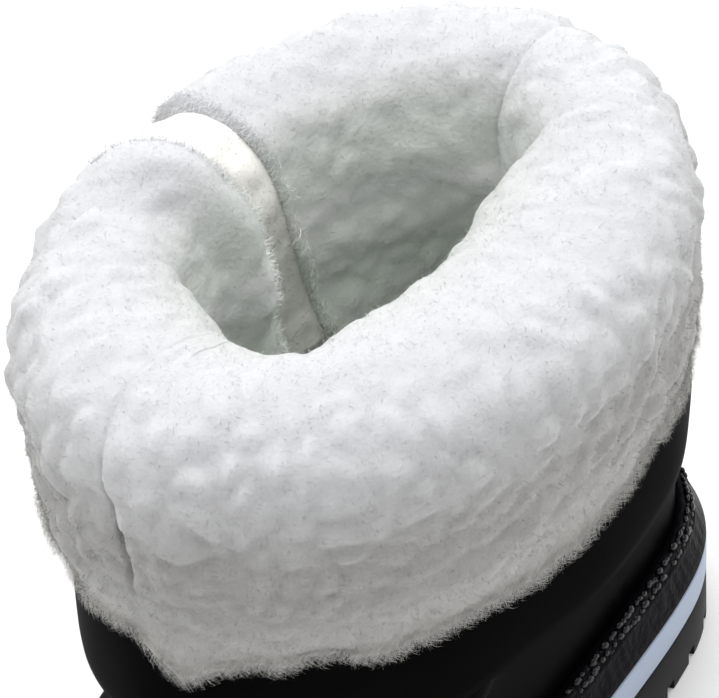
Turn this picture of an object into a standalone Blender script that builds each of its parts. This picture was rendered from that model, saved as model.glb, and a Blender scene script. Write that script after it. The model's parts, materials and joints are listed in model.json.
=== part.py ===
"""Left snow boot with a turned-down plush cuff, modelled in metres.

+X points to the toe, +Y to the boot's outer side, +Z up. The origin is on the ground, under the middle of the heel.
"""

import math
import random
from dataclasses import dataclass

import bmesh
import bpy
from mathutils import Vector

# Sole
SOLE_LENGTH = 0.300
BALL_WIDTH = 0.112
WAIST_WIDTH = 0.084
HEEL_WIDTH = 0.0896
HEEL_REACH = 0.048
TOE_SPRING = 0.011
ARCH_RISE = 0.0035
HEEL_OUTSOLE = 0.0185
BALL_OUTSOLE = 0.0140
HEEL_STRIPE = 0.0115
BALL_STRIPE = 0.0085
OUTSOLE_FLARE = 0.0012
EDGE_ROUND = 0.0010
ARCH_MIDDLE = 0.44
ARCH_SPAN = 0.26
LUG_START = 0.030
LUG_PITCH = 0.0125
LUG_GAP = 0.0036
LUG_DEPTH = 0.0042
LUG_SWEEP = 0.14
CENTRE_STRIP = 0.0120
END_GAP_REACH = 0.016

# Rubber sidewall, a cup that the upper stands in
HEEL_SIDEWALL = 0.0125
BALL_SIDEWALL = 0.0115
SIDEWALL_TAPER = 0.0046
CUP_WALL = 0.0030
CUP_FLOOR = 0.0028
BEAD_HEIGHT = 0.0024
BEAD_PROUD = 0.0009

# Upper
UPPER_WALL = 0.0028
TOE_BOX_HEIGHT = 0.066
COUNTER_HEIGHT = 0.072
INSTEP_HEIGHT = 0.116
SHAFT_LOW_X = 0.0545
SHAFT_LOW_LENGTH = 0.149
SHAFT_LOW_WIDTH = 0.094

# Fold of the cuff, at the top of the shaft
COLLAR_HEIGHT = 0.200
COLLAR_X = 0.0572
COLLAR_Y = 0.002
COLLAR_LENGTH = 0.123
COLLAR_WIDTH = 0.0918
COLLAR_TURN = math.radians(-7.0)
COLLAR_TILT = 0.003
ROLL_RADIUS = 0.0183
ROLL_INNER_FRONT = 0.0250
ROLL_INNER_OUTSIDE = 0.0270
ROLL_INNER_REST = 0.0175

# Cuff band and fleece
RIM_HEIGHT = 0.1152
RIM_X = 0.0546
RIM_LENGTH = 0.166
RIM_WIDTH = 0.1194
BAND_WALL = 0.0026
HEM_HEIGHT = 0.139
HEM_THICKNESS = 0.0042
LINING_THICKNESS = 0.0125
LINING_END = 0.118
LOCK_SIZE = 0.0150
LOCK_HEIGHT = 0.0026
LOCK_ROWS = 11
LOCK_ROW_RUN = 0.045
HEM_LOCK_DROP = 0.0032
SEAM_DEPTH = 0.0040
SEAM_WIDTH = 0.0070

# Zip on the inner side of the foot, with facings that run over the fold
FACING_THICKNESS = 0.0016
FACING_WIDTH = 0.0120
REAR_FACING_WIDTH = 0.0050
FACING_SPLIT = 0.0012
FACING_REARWARD = 0.0083
FACING_SLANT = 0.014
CHANNEL_DEPTH = 0.0042
CHANNEL_RAMP = 0.0035
RIDGE_HEIGHT = 0.0060
RIDGE_WIDTH = 0.0140
ZIP_WIDTH = 0.013
ZIP_THICKNESS = 0.0016
ZIP_TEETH_PROUD = 0.0012
ZIP_TOP_X = 0.031
ZIP_LOW_X = 0.016
ZIP_LOW = 0.058
ZIP_UNDER_BAND = 0.002

INSOLE_THICKNESS = 0.004

# Clearances between pieces
FIT_GAP = 0.0003
CURVED_GAP = 0.0007
LINING_GAP = 0.0011
ROOF_GAP = 0.0014

# Divisions round each ring
AROUND = 48
FLEECE_AROUND = 62

# Sole outline: share of the length from the heel, the width that the row follows, and how far the edge
# lies to the outer and the inner side, as shares of half that width
SOLE_EDGE = (
    ("along", "follows", "outer", "inner"),
    (0.0100, HEEL_WIDTH, 0.434, 0.434),
    (0.0380, HEEL_WIDTH, 0.740, 0.740),
    (0.0830, HEEL_WIDTH, 0.933, 0.933),
    (0.1500, HEEL_WIDTH, 1.000, 1.000),
    (0.2700, HEEL_WIDTH, 0.985, 0.960),
    (0.4200, WAIST_WIDTH, 1.000, 0.940),
    (0.5600, BALL_WIDTH, 0.950, 0.860),
    (0.6700, BALL_WIDTH, 1.000, 0.980),
    (0.7700, BALL_WIDTH, 0.955, 1.030),
    (0.8600, BALL_WIDTH, 0.790, 1.000),
    (0.9300, BALL_WIDTH, 0.520, 0.860),
    (0.9750, BALL_WIDTH, 0.200, 0.640),
)
TOE_TIP_INWARD = 0.24

# Foot of the upper, outside: the rear and front end of each ring and its half width as shares of the foot's
# length and of half the ball's width, heights as shares of the named height, and how far it is an oval
FOOT_RINGS = (
    ("rear", "front", "width", "rear_height", "of_counter", "front_height", "of_toe_box", "oval"),
    (0.003, 0.994, 1.000, 0.82, COUNTER_HEIGHT, 0.84, TOE_BOX_HEIGHT, 0.00),
    (0.006, 0.968, 0.965, 0.98, COUNTER_HEIGHT, 1.00, TOE_BOX_HEIGHT, 0.05),
    (0.009, 0.920, 0.915, 1.09, COUNTER_HEIGHT, 1.10, TOE_BOX_HEIGHT, 0.18),
    (0.014, 0.822, 0.835, 1.20, COUNTER_HEIGHT, 1.21, TOE_BOX_HEIGHT, 0.60),
    (0.022, 0.670, 0.850, 0.81, INSTEP_HEIGHT, 0.80, INSTEP_HEIGHT, 1.00),
    (0.034, 0.612, 0.885, 0.88, INSTEP_HEIGHT, 0.89, INSTEP_HEIGHT, 1.00),
    (0.050, 0.585, 0.925, 0.94, INSTEP_HEIGHT, 0.98, INSTEP_HEIGHT, 1.00),
)

# Rings of the fleece: 0 is the hem, 1 to 2 the crest from outside to inside, 3 the lower end inside
CREST_STEPS = 8
CREST_MIDDLE = 1.5
FLEECE_ROWS = (
    (0.0, 0.12, 0.36, 0.60, 0.82)
    + tuple(1.0 + step / CREST_STEPS for step in range(CREST_STEPS + 1))
    + (2.18, 2.42, 2.70, 3.0)
)

# Shares of the way up from the rim of the band to the fold, at which the shaft has a ring
SHAFT_STEPS = (0.0, 0.25, 0.5, 0.75, 1.0)


@dataclass
class Oval:
    """A level oval: the place of its middle along X, half its length and half its width."""

    x: float
    a: float
    b: float

    def grown(self, by):
        """The oval moved outwards by a distance."""
        return Oval(self.x, self.a + by, self.b + by)

    def toward(self, other, share):
        """The oval a share of the way to another one."""
        return Oval(
            mix(self.x, other.x, share),
            mix(self.a, other.a, share),
            mix(self.b, other.b, share),
        )

    def point(self, angle, z):
        """The point of the oval at an angle from its front, at height z, turned with the collar."""
        along = self.a * math.cos(angle)
        across = self.b * math.sin(angle)
        turn_cos = math.cos(COLLAR_TURN)
        turn_sin = math.sin(COLLAR_TURN)
        return Vector(
            (
                self.x + along * turn_cos - across * turn_sin,
                COLLAR_Y + along * turn_sin + across * turn_cos,
                z,
            )
        )


def mix(low, high, share):
    """The value a share of the way from low to high."""
    return low + (high - low) * share


def smooth(share):
    """An S-shaped step from 0 to 1, flat at both ends."""
    share = min(max(share, 0.0), 1.0)
    return share * share * (3.0 - 2.0 * share)


def bump(distance, half_width):
    """A soft bump that is 1 at distance 0 and ends at half_width."""
    return smooth(1.0 - abs(distance) / half_width)


def wrapped(angle):
    """The angle brought between -pi and pi."""
    return (angle + math.pi) % (2.0 * math.pi) - math.pi


def spline(points, count_between, closed):
    """Points on a Catmull-Rom curve through the given ones."""
    last = len(points)
    spans = last if closed else last - 1
    made = []
    for span in range(spans):
        if closed:
            near = [points[(span + step) % last] for step in (-1, 0, 1, 2)]
        else:
            near = [points[min(max(span + step, 0), last - 1)] for step in (-1, 0, 1, 2)]
        for step in range(count_between):
            made.append(between(near, step / count_between))
    if not closed:
        made.append(points[-1].copy())
    return made


def between(near, t):
    """The point at share t of the Catmull-Rom span between the middle two of four points."""
    before, start, end, after = near
    return 0.5 * (
        2.0 * start
        + (end - before) * t
        + (2.0 * before - 5.0 * start + 4.0 * end - after) * t * t
        + (3.0 * start - before - 3.0 * end + after) * t * t * t
    )


def evenly(points, count):
    """The polyline cut into count equal lengths, with both ends kept."""
    lengths = [0.0]
    for first, second in zip(points, points[1:]):
        lengths.append(lengths[-1] + (second - first).length)
    made = []
    span = 0
    for step in range(count + 1):
        wanted = lengths[-1] * step / count
        while span < len(points) - 2 and lengths[span + 1] < wanted:
            span += 1
        share = (wanted - lengths[span]) / (lengths[span + 1] - lengths[span])
        made.append(points[span].lerp(points[span + 1], min(share, 1.0)))
    return made


def sole_outline(count):
    """The sole's edge from above: count points from the back of the heel, round the outer side first."""
    half = [row[2] * row[1] / 2.0 for row in SOLE_EDGE[1:]]
    other = [row[3] * row[1] / 2.0 for row in SOLE_EDGE[1:]]
    along = [row[0] * SOLE_LENGTH - HEEL_REACH for row in SOLE_EDGE[1:]]
    back = Vector((-HEEL_REACH, 0.0, 0.0))
    tip = Vector((SOLE_LENGTH - HEEL_REACH, -TOE_TIP_INWARD * BALL_WIDTH / 2.0, 0.0))
    outer = [Vector((x, y, 0.0)) for x, y in zip(along, half)]
    inner = [Vector((x, -y, 0.0)) for x, y in zip(along, other)]
    corners = [back] + outer + [tip] + inner[::-1]
    fine = 12
    curve = spline(corners, fine, closed=True)
    turn = fine * (len(outer) + 1)
    outer_run = evenly(curve[: turn + 1], count // 2)
    inner_run = evenly(curve[turn:] + [curve[0]], count // 2)
    return outer_run[:-1] + inner_run[:-1]


def inset(outline, by):
    """A closed outline moved inwards, point by point, along its own normals."""
    moved = []
    count = len(outline)
    for index, point in enumerate(outline):
        run = outline[(index + 1) % count] - outline[index - 1]
        normal = Vector((run.y, -run.x, 0.0)).normalized()
        moved.append(point + normal * by)
    return moved


def along_share(x):
    """Where x lies along the sole: 0 at the heel, 1 at the toe."""
    return (x + HEEL_REACH) / SOLE_LENGTH


def toe_rise(x):
    """How far the toe spring lifts the sole at x."""
    return TOE_SPRING * max((along_share(x) - 0.70) / 0.30, 0.0) ** 1.8


def arch_rise(x):
    """How far the arch lifts the underside at x."""
    return ARCH_RISE * bump(along_share(x) - ARCH_MIDDLE, ARCH_SPAN / 2.0)


def heel_to_ball(x):
    """0 at the heel and 1 from the ball forwards."""
    return smooth((along_share(x) - 0.25) / 0.40)


def outsole_top(x):
    """Height of the outsole's upper face."""
    return mix(HEEL_OUTSOLE, BALL_OUTSOLE, heel_to_ball(x)) + toe_rise(x)


def stripe_top(x):
    """Height of the midsole's upper face."""
    return outsole_top(x) + mix(HEEL_STRIPE, BALL_STRIPE, heel_to_ball(x))


def cup_floor(x):
    """Height of the floor inside the rubber cup."""
    return stripe_top(x) + CUP_FLOOR


def sidewall_top(x):
    """Height of the cup's upper edge."""
    return stripe_top(x) + mix(HEEL_SIDEWALL, BALL_SIDEWALL, heel_to_ball(x))


def ring_angle(index, count):
    """The angle of a ring's point: it starts at the back and goes round the outer side first."""
    return math.pi - 2.0 * math.pi * index / count


def shaft_oval(z):
    """Outside of the shaft at height z, from the rim of the band up to the fold."""
    low = Oval(SHAFT_LOW_X, SHAFT_LOW_LENGTH / 2.0, SHAFT_LOW_WIDTH / 2.0)
    share = (z - RIM_HEIGHT) / (upper_top() - RIM_HEIGHT)
    return low.toward(fold_oval().grown(UPPER_WALL / 2.0), share ** 0.8 if share > 0.0 else 0.0)


def fold_oval():
    """The line that the cuff folds over, from above."""
    return Oval(COLLAR_X, COLLAR_LENGTH / 2.0, COLLAR_WIDTH / 2.0)


def fold_height(angle):
    """Height of the middle of the roll, a little higher on the outer side."""
    return COLLAR_HEIGHT - ROLL_RADIUS + COLLAR_TILT * math.sin(angle)


def upper_top():
    """Height of the upper's top edge, inside the roll."""
    return COLLAR_HEIGHT - ROLL_RADIUS - COLLAR_TILT


def band_oval(z):
    """Outside of the cuff's band at height z."""
    rim = Oval(RIM_X, RIM_LENGTH / 2.0, RIM_WIDTH / 2.0)
    top = shaft_oval(upper_top()).grown(CURVED_GAP + BAND_WALL)
    share = smooth((z - RIM_HEIGHT) / (upper_top() - RIM_HEIGHT))
    return rim.toward(top, share)


def build_mesh(name, corners, faces):
    """A mesh object with its faces turned outwards."""
    mesh = bpy.data.meshes.new(name)
    mesh.from_pydata([tuple(corner) for corner in corners], [], faces)
    shape = bmesh.new()
    shape.from_mesh(mesh)
    bmesh.ops.recalc_face_normals(shape, faces=shape.faces)
    shape.to_mesh(mesh)
    shape.free()
    return bpy.data.objects.new(name, mesh)


def loft(rings, around_closed=True, rings_closed=False):
    """Corners and faces of the skin over rings with equally many points."""
    count = len(rings[0])
    corners = [corner for ring in rings for corner in ring]
    faces = []
    ring_spans = len(rings) if rings_closed else len(rings) - 1
    point_spans = count if around_closed else count - 1
    for row in range(ring_spans):
        for index in range(point_spans):
            below = row * count
            above = (row + 1) % len(rings) * count
            after = (index + 1) % count
            faces.append((below + index, below + after, above + after, above + index))
    return corners, faces


def ladder(count, start):
    """Faces that close a ring crosswise, from its back end to its front end."""
    faces = [(start, start + 1, start + count - 1)]
    for index in range(1, count // 2 - 1):
        faces.append((start + index, start + index + 1, start + count - index - 1, start + count - index))
    middle = count // 2
    faces.append((start + middle - 1, start + middle, start + middle + 1))
    return faces


def capped_loft(name, rings):
    """A closed solid over rings from bottom to top, closed crosswise at both ends."""
    corners, faces = loft(rings)
    count = len(rings[0])
    faces += ladder(count, 0)
    faces += ladder(count, (len(rings) - 1) * count)
    return build_mesh(name, corners, faces)


def at_height(outline, height):
    """An outline with each point at the height that a function gives for its x."""
    return [Vector((point.x, point.y, height(point.x))) for point in outline]


def finish(item, collection, colour, roughness, metallic=0.0, sharp_angle=40.0):
    """Puts an object in its collection, shades it and gives it its own material."""
    collection.objects.link(item)
    material = bpy.data.materials.new(item.name)
    material.use_nodes = True
    shader = material.node_tree.nodes["Principled BSDF"]
    shader.inputs["Base Color"].default_value = (*colour, 1.0)
    shader.inputs["Roughness"].default_value = roughness
    shader.inputs["Metallic"].default_value = metallic
    item.data.materials.append(material)
    item.data.shade_smooth()
    item.data.set_sharp_from_angle(angle=math.radians(sharp_angle))
    return item


def box(name, size, middle, turn=0.0):
    """A box from Blender's cube, at its real size."""
    shape = bmesh.new()
    bmesh.ops.create_cube(shape, size=1.0)
    bmesh.ops.scale(shape, vec=size, verts=shape.verts)
    mesh = bpy.data.meshes.new(name)
    shape.to_mesh(mesh)
    shape.free()
    item = bpy.data.objects.new(name, mesh)
    item.location = middle
    item.rotation_euler = (0.0, 0.0, turn)
    return item


def crosswise_gaps():
    """Bars across the sole, one to each side of its middle and swept to the rear; the waist has none."""
    bars = []
    reach = 0.6 * BALL_WIDTH
    x = LUG_START - HEEL_REACH
    while x < SOLE_LENGTH - HEEL_REACH - LUG_START:
        if abs(along_share(x) - ARCH_MIDDLE) > 0.3 * ARCH_SPAN:
            for side in (1.0, -1.0):
                middle = (x - LUG_SWEEP * reach / 2.0, side * (CENTRE_STRIP + reach) / 2.0, toe_rise(x))
                bars.append(box("lug_gap", (LUG_GAP, reach, 2.0 * LUG_DEPTH), middle, side * LUG_SWEEP))
        x += LUG_PITCH
    return bars


def end_gaps():
    """Bars round the back of the heel and the tip of the toe, each pointing away from a middle."""
    bars = []
    heel_middle = Vector((0.0, 0.0, 0.0))
    tip = SOLE_LENGTH - HEEL_REACH
    toe_middle = Vector((tip - HEEL_WIDTH / 2.0, -0.1 * BALL_WIDTH, toe_rise(tip)))
    fans = (
        (heel_middle, HEEL_REACH, (2.60, math.pi, 3.68)),
        (toe_middle, HEEL_WIDTH / 2.0, (-0.75, -0.25, 0.25, 0.75)),
    )
    for middle, radius, turns in fans:
        for turn in turns:
            arm = Vector((math.cos(turn), math.sin(turn), 0.0))
            size = (2.0 * END_GAP_REACH, LUG_GAP, 2.0 * LUG_DEPTH + TOE_SPRING / 3.0)
            bars.append(box("end_gap", size, middle + arm * radius, turn))
    return bars


def make_outsole():
    """The black outsole: flared at the foot, with an arch, toe spring and lugs."""
    edge = sole_outline(AROUND)

    def underside(x):
        return toe_rise(x) + arch_rise(x)

    rings = [
        at_height(inset(edge, EDGE_ROUND - OUTSOLE_FLARE), underside),
        at_height(inset(edge, -OUTSOLE_FLARE), lambda x: underside(x) + EDGE_ROUND),
        at_height(inset(edge, -0.6 * OUTSOLE_FLARE), lambda x: underside(x) + 0.5 * BALL_OUTSOLE),
        at_height(edge, lambda x: outsole_top(x) - EDGE_ROUND),
        at_height(inset(edge, EDGE_ROUND), outsole_top),
    ]
    return capped_loft("outsole", rings)


def make_midsole():
    """The pale stripe: a slab between outsole and sidewall, a little proud of both."""
    edge = sole_outline(AROUND)
    rounding = 0.5 * EDGE_ROUND
    rings = [
        at_height(inset(edge, rounding), lambda x: outsole_top(x) + FIT_GAP),
        at_height(edge, lambda x: outsole_top(x) + FIT_GAP + rounding),
        at_height(edge, lambda x: stripe_top(x) - rounding),
        at_height(inset(edge, rounding), stripe_top),
    ]
    return capped_loft("midsole_stripe", rings)


def make_sidewall():
    """The rubber cup above the stripe: a tapered wall with two beads along its top, and a floor."""
    edge = sole_outline(AROUND)

    def up(share):
        return lambda x: mix(stripe_top(x) + FIT_GAP, sidewall_top(x), share)

    def below_top(drop):
        return lambda x: sidewall_top(x) - drop

    taper = SIDEWALL_TAPER
    rings = [
        at_height(inset(edge, 0.6 * EDGE_ROUND), up(0.0)),
        at_height(inset(edge, 0.1 * EDGE_ROUND), up(0.08)),
        at_height(inset(edge, 0.55 * taper), below_top(2.1 * BEAD_HEIGHT)),
        at_height(inset(edge, 0.70 * taper - BEAD_PROUD), below_top(1.5 * BEAD_HEIGHT)),
        at_height(inset(edge, 0.85 * taper), below_top(1.0 * BEAD_HEIGHT)),
        at_height(inset(edge, 0.95 * taper - BEAD_PROUD), below_top(0.5 * BEAD_HEIGHT)),
        at_height(inset(edge, taper + 0.3 * CUP_WALL), below_top(0.0)),
        at_height(inset(edge, taper + CUP_WALL), below_top(0.2 * BEAD_HEIGHT)),
        at_height(inset(edge, taper + CUP_WALL), cup_floor),
    ]
    return capped_loft("sidewall", rings)


def foot_rings(edge):
    """Rings of the upper's outside from the cup's floor up to the rim of the cuff's band."""
    foot = inset(edge, SIDEWALL_TAPER + CUP_WALL + FIT_GAP)
    count = len(foot)
    rear = min(point.x for point in foot)
    length = max(point.x for point in foot) - rear
    half = max(point.y for point in foot)
    rings = [
        at_height(foot, lambda x: cup_floor(x) + FIT_GAP),
        at_height(foot, lambda x: sidewall_top(x) + FIT_GAP),
    ]
    for row in FOOT_RINGS[1:]:
        back_x, front_x, width, rear_share, rear_of, front_share, front_of, oval = row
        start = rear + back_x * length
        end = rear + front_x * length
        low = rear_share * rear_of
        high = front_share * front_of
        shape = Oval((start + end) / 2.0, (end - start) / 2.0, width * half)
        ring = []
        for index, point in enumerate(foot):
            share = (point.x - rear) / length
            sole_like = Vector((mix(start, end, share), point.y * width, 0.0))
            round_like = shape.point(ring_angle(index, count), 0.0)
            spot = sole_like.lerp(round_like, oval)
            spot.z = mix(low, high, (spot.x - start) / (end - start))
            ring.append(spot)
        rings.append(ring)
    return rings


def upper_rings(edge):
    """All rings of the upper's outside, from the cup's floor to the fold of the cuff."""
    rings = foot_rings(edge)
    for share in SHAFT_STEPS:
        z = mix(RIM_HEIGHT, upper_top(), share)
        oval = shaft_oval(z)
        rings.append([oval.point(ring_angle(index, len(edge)), z) for index in range(len(edge))])
    return rings


def upper_point(rings, index, row):
    """A point of the upper's outside at a whole point number and a row that may lie between two rings."""
    span = min(int(row), len(rings) - 2)
    near = [rings[min(max(span + step, 0), len(rings) - 1)][index] for step in (-1, 0, 1, 2)]
    return between(near, row - span)


def make_upper():
    """The upper: one hollow shell with a real wall, open at the collar and underneath."""
    rings = upper_rings(sole_outline(AROUND))
    last_foot = len(rings) - len(SHAFT_STEPS)
    skin = rings[:3]
    for row in range(2, last_foot):
        skin.append([upper_point(rings, index, row + 0.5) for index in range(AROUND)])
        skin.append(rings[row + 1])
    corners, faces = loft(skin + rings[last_foot + 1 :])
    item = build_mesh("upper", corners, faces)
    wall = item.modifiers.new("wall", "SOLIDIFY")
    wall.thickness = UPPER_WALL
    wall.offset = -1.0
    wall.use_even_offset = True
    return item


def make_insole():
    """The insole on the cup's floor, inside the upper."""
    wall = SIDEWALL_TAPER + CUP_WALL + FIT_GAP + UPPER_WALL + CURVED_GAP
    edge = inset(sole_outline(AROUND), wall)
    rings = [
        at_height(edge, lambda x: cup_floor(x) + FIT_GAP),
        at_height(inset(edge, 0.3 * EDGE_ROUND), lambda x: cup_floor(x) + FIT_GAP + INSOLE_THICKNESS),
    ]
    return capped_loft("insole", rings)


def split_angle(along):
    """Angle of the line between the facings: it runs forwards from the inside over the crest to the hem."""
    forward = FACING_SLANT * (1.0 - along / CREST_MIDDLE) - FACING_REARWARD
    return -math.pi / 2.0 + forward * 2.0 / COLLAR_LENGTH


def lining_depth(angle, z):
    """How thick the fleece is inside the fold at a height."""
    front = ROLL_INNER_FRONT * smooth(math.cos(angle))
    outside = ROLL_INNER_OUTSIDE * smooth(math.sin(angle) * 1.2)
    crest = max(ROLL_INNER_REST, front, outside)
    share = smooth((fold_height(angle) - z) / (0.75 * (fold_height(angle) - LINING_END)))
    return mix(crest, LINING_THICKNESS, share)


def cuff_face(angle, along):
    """The fleece's smooth outer face: along runs from the hem, 0, over the crest, 1 to 2, down inside to 3."""
    top = fold_height(angle)
    fold = fold_oval()
    if along < 1.0:
        z = mix(HEM_HEIGHT, top, along)
        hem = band_oval(HEM_HEIGHT).grown(HEM_THICKNESS)
        oval = hem.toward(fold.grown(ROLL_RADIUS), smooth(along) * 0.5 + along * 0.5)
        return oval.point(angle, z)
    if along <= 2.0:
        k = (along - 1.0) * math.pi
        reach = ROLL_RADIUS if k < math.pi / 2.0 else lining_depth(angle, top)
        oval = fold.grown(reach * math.cos(k))
        return oval.point(angle, top + ROLL_RADIUS * math.sin(k))
    z = mix(top, LINING_END, along - 2.0)
    oval = shaft_oval(min(z, upper_top())).grown(-UPPER_WALL / 2.0 - lining_depth(angle, z))
    return oval.point(angle, z)


def face_normal(angle, along):
    """Outward direction of the fleece's smooth face."""
    step = 0.01
    here = cuff_face(angle, along)
    run = cuff_face(angle, min(along + step, 3.0)) - cuff_face(angle, max(along - step, 0.0))
    side = cuff_face(angle + step, along) - cuff_face(angle - step, along)
    normal = side.cross(run)
    if normal.length < 1e-12:
        normal = here - Vector((COLLAR_X, COLLAR_Y, here.z))
    return normal.normalized()


def lock_centres():
    """Places of the plush locks on the cuff's face: staggered rows, each a little out of line."""
    draw = random.Random(7)
    centres = []
    girth = math.pi * (COLLAR_LENGTH + COLLAR_WIDTH) / 2.0
    count = round(girth / LOCK_SIZE)
    for row in range(LOCK_ROWS):
        along = mix(0.12, 2.82, row / (LOCK_ROWS - 1))
        for step in range(count):
            angle = 2.0 * math.pi * (step + 0.5 * (row % 2) + draw.uniform(-0.3, 0.3)) / count
            centres.append((wrapped(angle), along + draw.uniform(-0.1, 0.1), draw.uniform(0.6, 1.0)))
    return centres


def lock_rise(centres, angle, along):
    """How far the locks lift the face: the highest mound that reaches the place."""
    rise = 0.0
    around = (COLLAR_LENGTH + COLLAR_WIDTH) / 4.0
    for lock_angle, lock_along, height in centres:
        across = wrapped(angle - lock_angle) * around
        down = (along - lock_along) * LOCK_ROW_RUN
        reach = math.hypot(across, down) / (0.62 * LOCK_SIZE)
        if reach < 1.0:
            rise = max(rise, height * LOCK_HEIGHT * math.sqrt(1.0 - reach * reach))
    return rise


def split_distance(angle, along):
    """Distance along the ring from the line between the two facings, positive to the front."""
    return wrapped(angle - split_angle(along)) * COLLAR_LENGTH / 2.0


def channel_edges():
    """Both sides of the channel's floor, as distances from the line between the facings."""
    return (
        -(FACING_SPLIT / 2.0 + REAR_FACING_WIDTH + CURVED_GAP),
        FACING_SPLIT / 2.0 + FACING_WIDTH + CURVED_GAP,
    )


def fleece_angles(along):
    """Angles of a fleece ring's points: two at each side of the channel, the rest evenly spread."""
    rear, front = channel_edges()
    middle = split_angle(along)
    per_metre = 2.0 / COLLAR_LENGTH
    start = (front + CHANNEL_RAMP) * per_metre
    end = 2.0 * math.pi + (rear - CHANNEL_RAMP) * per_metre
    spread = FLEECE_AROUND - 4
    angles = [middle + mix(start, end, step / (spread - 1)) for step in range(spread)]
    return angles + [middle + edge * per_metre for edge in (rear, 0.4 * rear, 0.4 * front, front)]


def cuff_relief(centres, angle, along):
    """The fleece's height over its smooth face: locks, the seams at front and back, channel and ridge."""
    offset = split_distance(angle, along)
    rear, front = channel_edges()
    past = max(rear - offset, offset - front, 0.0)
    inside = 1.0 - smooth(past / CHANNEL_RAMP)
    around = (COLLAR_LENGTH + COLLAR_WIDTH) / 4.0
    seam = max(
        bump(wrapped(angle) * around, SEAM_WIDTH),
        bump(wrapped(angle - math.pi) * around, SEAM_WIDTH),
    )
    fade = smooth(along / 0.25) * smooth((3.0 - along) / 0.2)
    rise = (lock_rise(centres, angle, along) - SEAM_DEPTH * seam) * fade
    ridge = RIDGE_HEIGHT * bump(offset - front - 0.7 * RIDGE_WIDTH, RIDGE_WIDTH) * smooth((along - 1.1) / 0.5)
    return (rise + ridge * fade) * (1.0 - inside) - CHANNEL_DEPTH * inside


def make_cuff_fleece():
    """The deep fleece: a roll over the fold with locks fused on, hollow where shaft and band run up into it."""
    centres = lock_centres()
    draw = random.Random(11)
    drops = [draw.uniform(0.2, 1.0) * (index % 2) for index in range(FLEECE_AROUND)]
    rings = []
    for along in FLEECE_ROWS:
        ring = []
        for index, angle in enumerate(fleece_angles(along)):
            rise = cuff_relief(centres, angle, along)
            spot = cuff_face(angle, along) + face_normal(angle, along) * rise
            spot.z -= HEM_LOCK_DROP * drops[index] * (1.0 - smooth(along / 0.12))
            ring.append(spot)
        rings.append(ring)
    rings += fleece_slot_rings()
    corners, faces = loft(rings, rings_closed=True)
    return build_mesh("cuff_fleece", corners, faces)


def fleece_slot_rings():
    """The hollow of the fleece, from the inner lower edge up the shaft, over its top and down along the band."""
    rings = []
    roof = upper_top() + ROOF_GAP
    for share in (0.0, 0.35, 0.7, 1.0):
        z = mix(LINING_END, roof, share)
        oval = shaft_oval(min(z, upper_top())).grown(-UPPER_WALL - LINING_GAP)
        rings.append([oval.point(angle, z) for angle in fleece_angles(mix(3.0, CREST_MIDDLE, share))])
    heights = [roof] + band_rows()[:1:-1]
    for step, z in enumerate(heights):
        oval = band_oval(min(z, upper_top())).grown(CURVED_GAP)
        along = CREST_MIDDLE * (1.0 - step / (len(heights) - 1))
        rings.append([oval.point(angle, z) for angle in fleece_angles(along)])
    return rings


def band_rows():
    """Heights of the band's rings: two below the fleece's hem, one at it and three above."""
    top = upper_top() - CURVED_GAP
    visible = HEM_HEIGHT - RIM_HEIGHT
    low = [RIM_HEIGHT + 0.06 * visible, RIM_HEIGHT + 0.5 * visible, HEM_HEIGHT]
    return low + [mix(HEM_HEIGHT, top, share) for share in (0.33, 0.67, 1.0)]


def make_cuff_band():
    """The smooth band below the fleece: the hem of the turned-down shaft."""
    angles = [ring_angle(index, AROUND) for index in range(AROUND)]
    rows = []
    for z in band_rows():
        rows.append((band_oval(z), z))
    for z in band_rows()[::-1]:
        rows.append((band_oval(z).grown(-BAND_WALL), z))
    rows.append((band_oval(RIM_HEIGHT).grown(-0.5 * BAND_WALL), RIM_HEIGHT))
    rings = [[oval.point(angle, z) for angle in angles] for oval, z in rows]
    corners, faces = loft(rings, rings_closed=True)
    return build_mesh("cuff_band", corners, faces)


def strip_solid(name, sections):
    """A closed strip over sections, each a ring of points, closed at both ends."""
    corners, faces = loft(sections)
    count = len(sections[0])
    faces.append(tuple(range(count))[::-1])
    start = (len(sections) - 1) * count
    faces.append(tuple(range(start, start + count)))
    return build_mesh(name, corners, faces)


def make_facing(name, low_edge, high_edge):
    """One facing of the zip: a strip from the outer hem over the fold and down inside, in the fleece's channel."""
    sections = []
    across_steps = 2
    for along in FLEECE_ROWS[1:-1]:
        top = []
        bottom = []
        middle = split_angle(along)
        for part in range(across_steps + 1):
            angle = middle + mix(low_edge, high_edge, part / across_steps) * 2.0 / COLLAR_LENGTH
            here = cuff_face(angle, along)
            out = face_normal(angle, along)
            lift = CURVED_GAP - CHANNEL_DEPTH
            bottom.append(here + out * lift)
            top.append(here + out * (lift + FACING_THICKNESS))
        sections.append(bottom + top[::-1])
    return strip_solid(name, sections)


def inner_side_point(rings, x, row):
    """The point of the upper's inner side at a given x, on a row that may lie between two rings."""
    side = [upper_point(rings, index % AROUND, row) for index in range(AROUND // 2, AROUND + 1)]
    for first, second in zip(side, side[1:]):
        if second.x <= x <= first.x:
            return first.lerp(second, (first.x - x) / (first.x - second.x))
    return side[-1]


def zip_point(rings, height):
    """The row and the point where the zip's middle reaches a height on the upper's inner side."""
    share = (height - ZIP_LOW) / (RIM_HEIGHT - ZIP_LOW)
    x = mix(ZIP_LOW_X, ZIP_TOP_X, share)
    low = 0.0
    high = float(len(rings) - 1)
    for _ in range(30):
        row = (low + high) / 2.0
        if inner_side_point(rings, x, row).z < height:
            low = row
        else:
            high = row
    return row, inner_side_point(rings, x, row)


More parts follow.
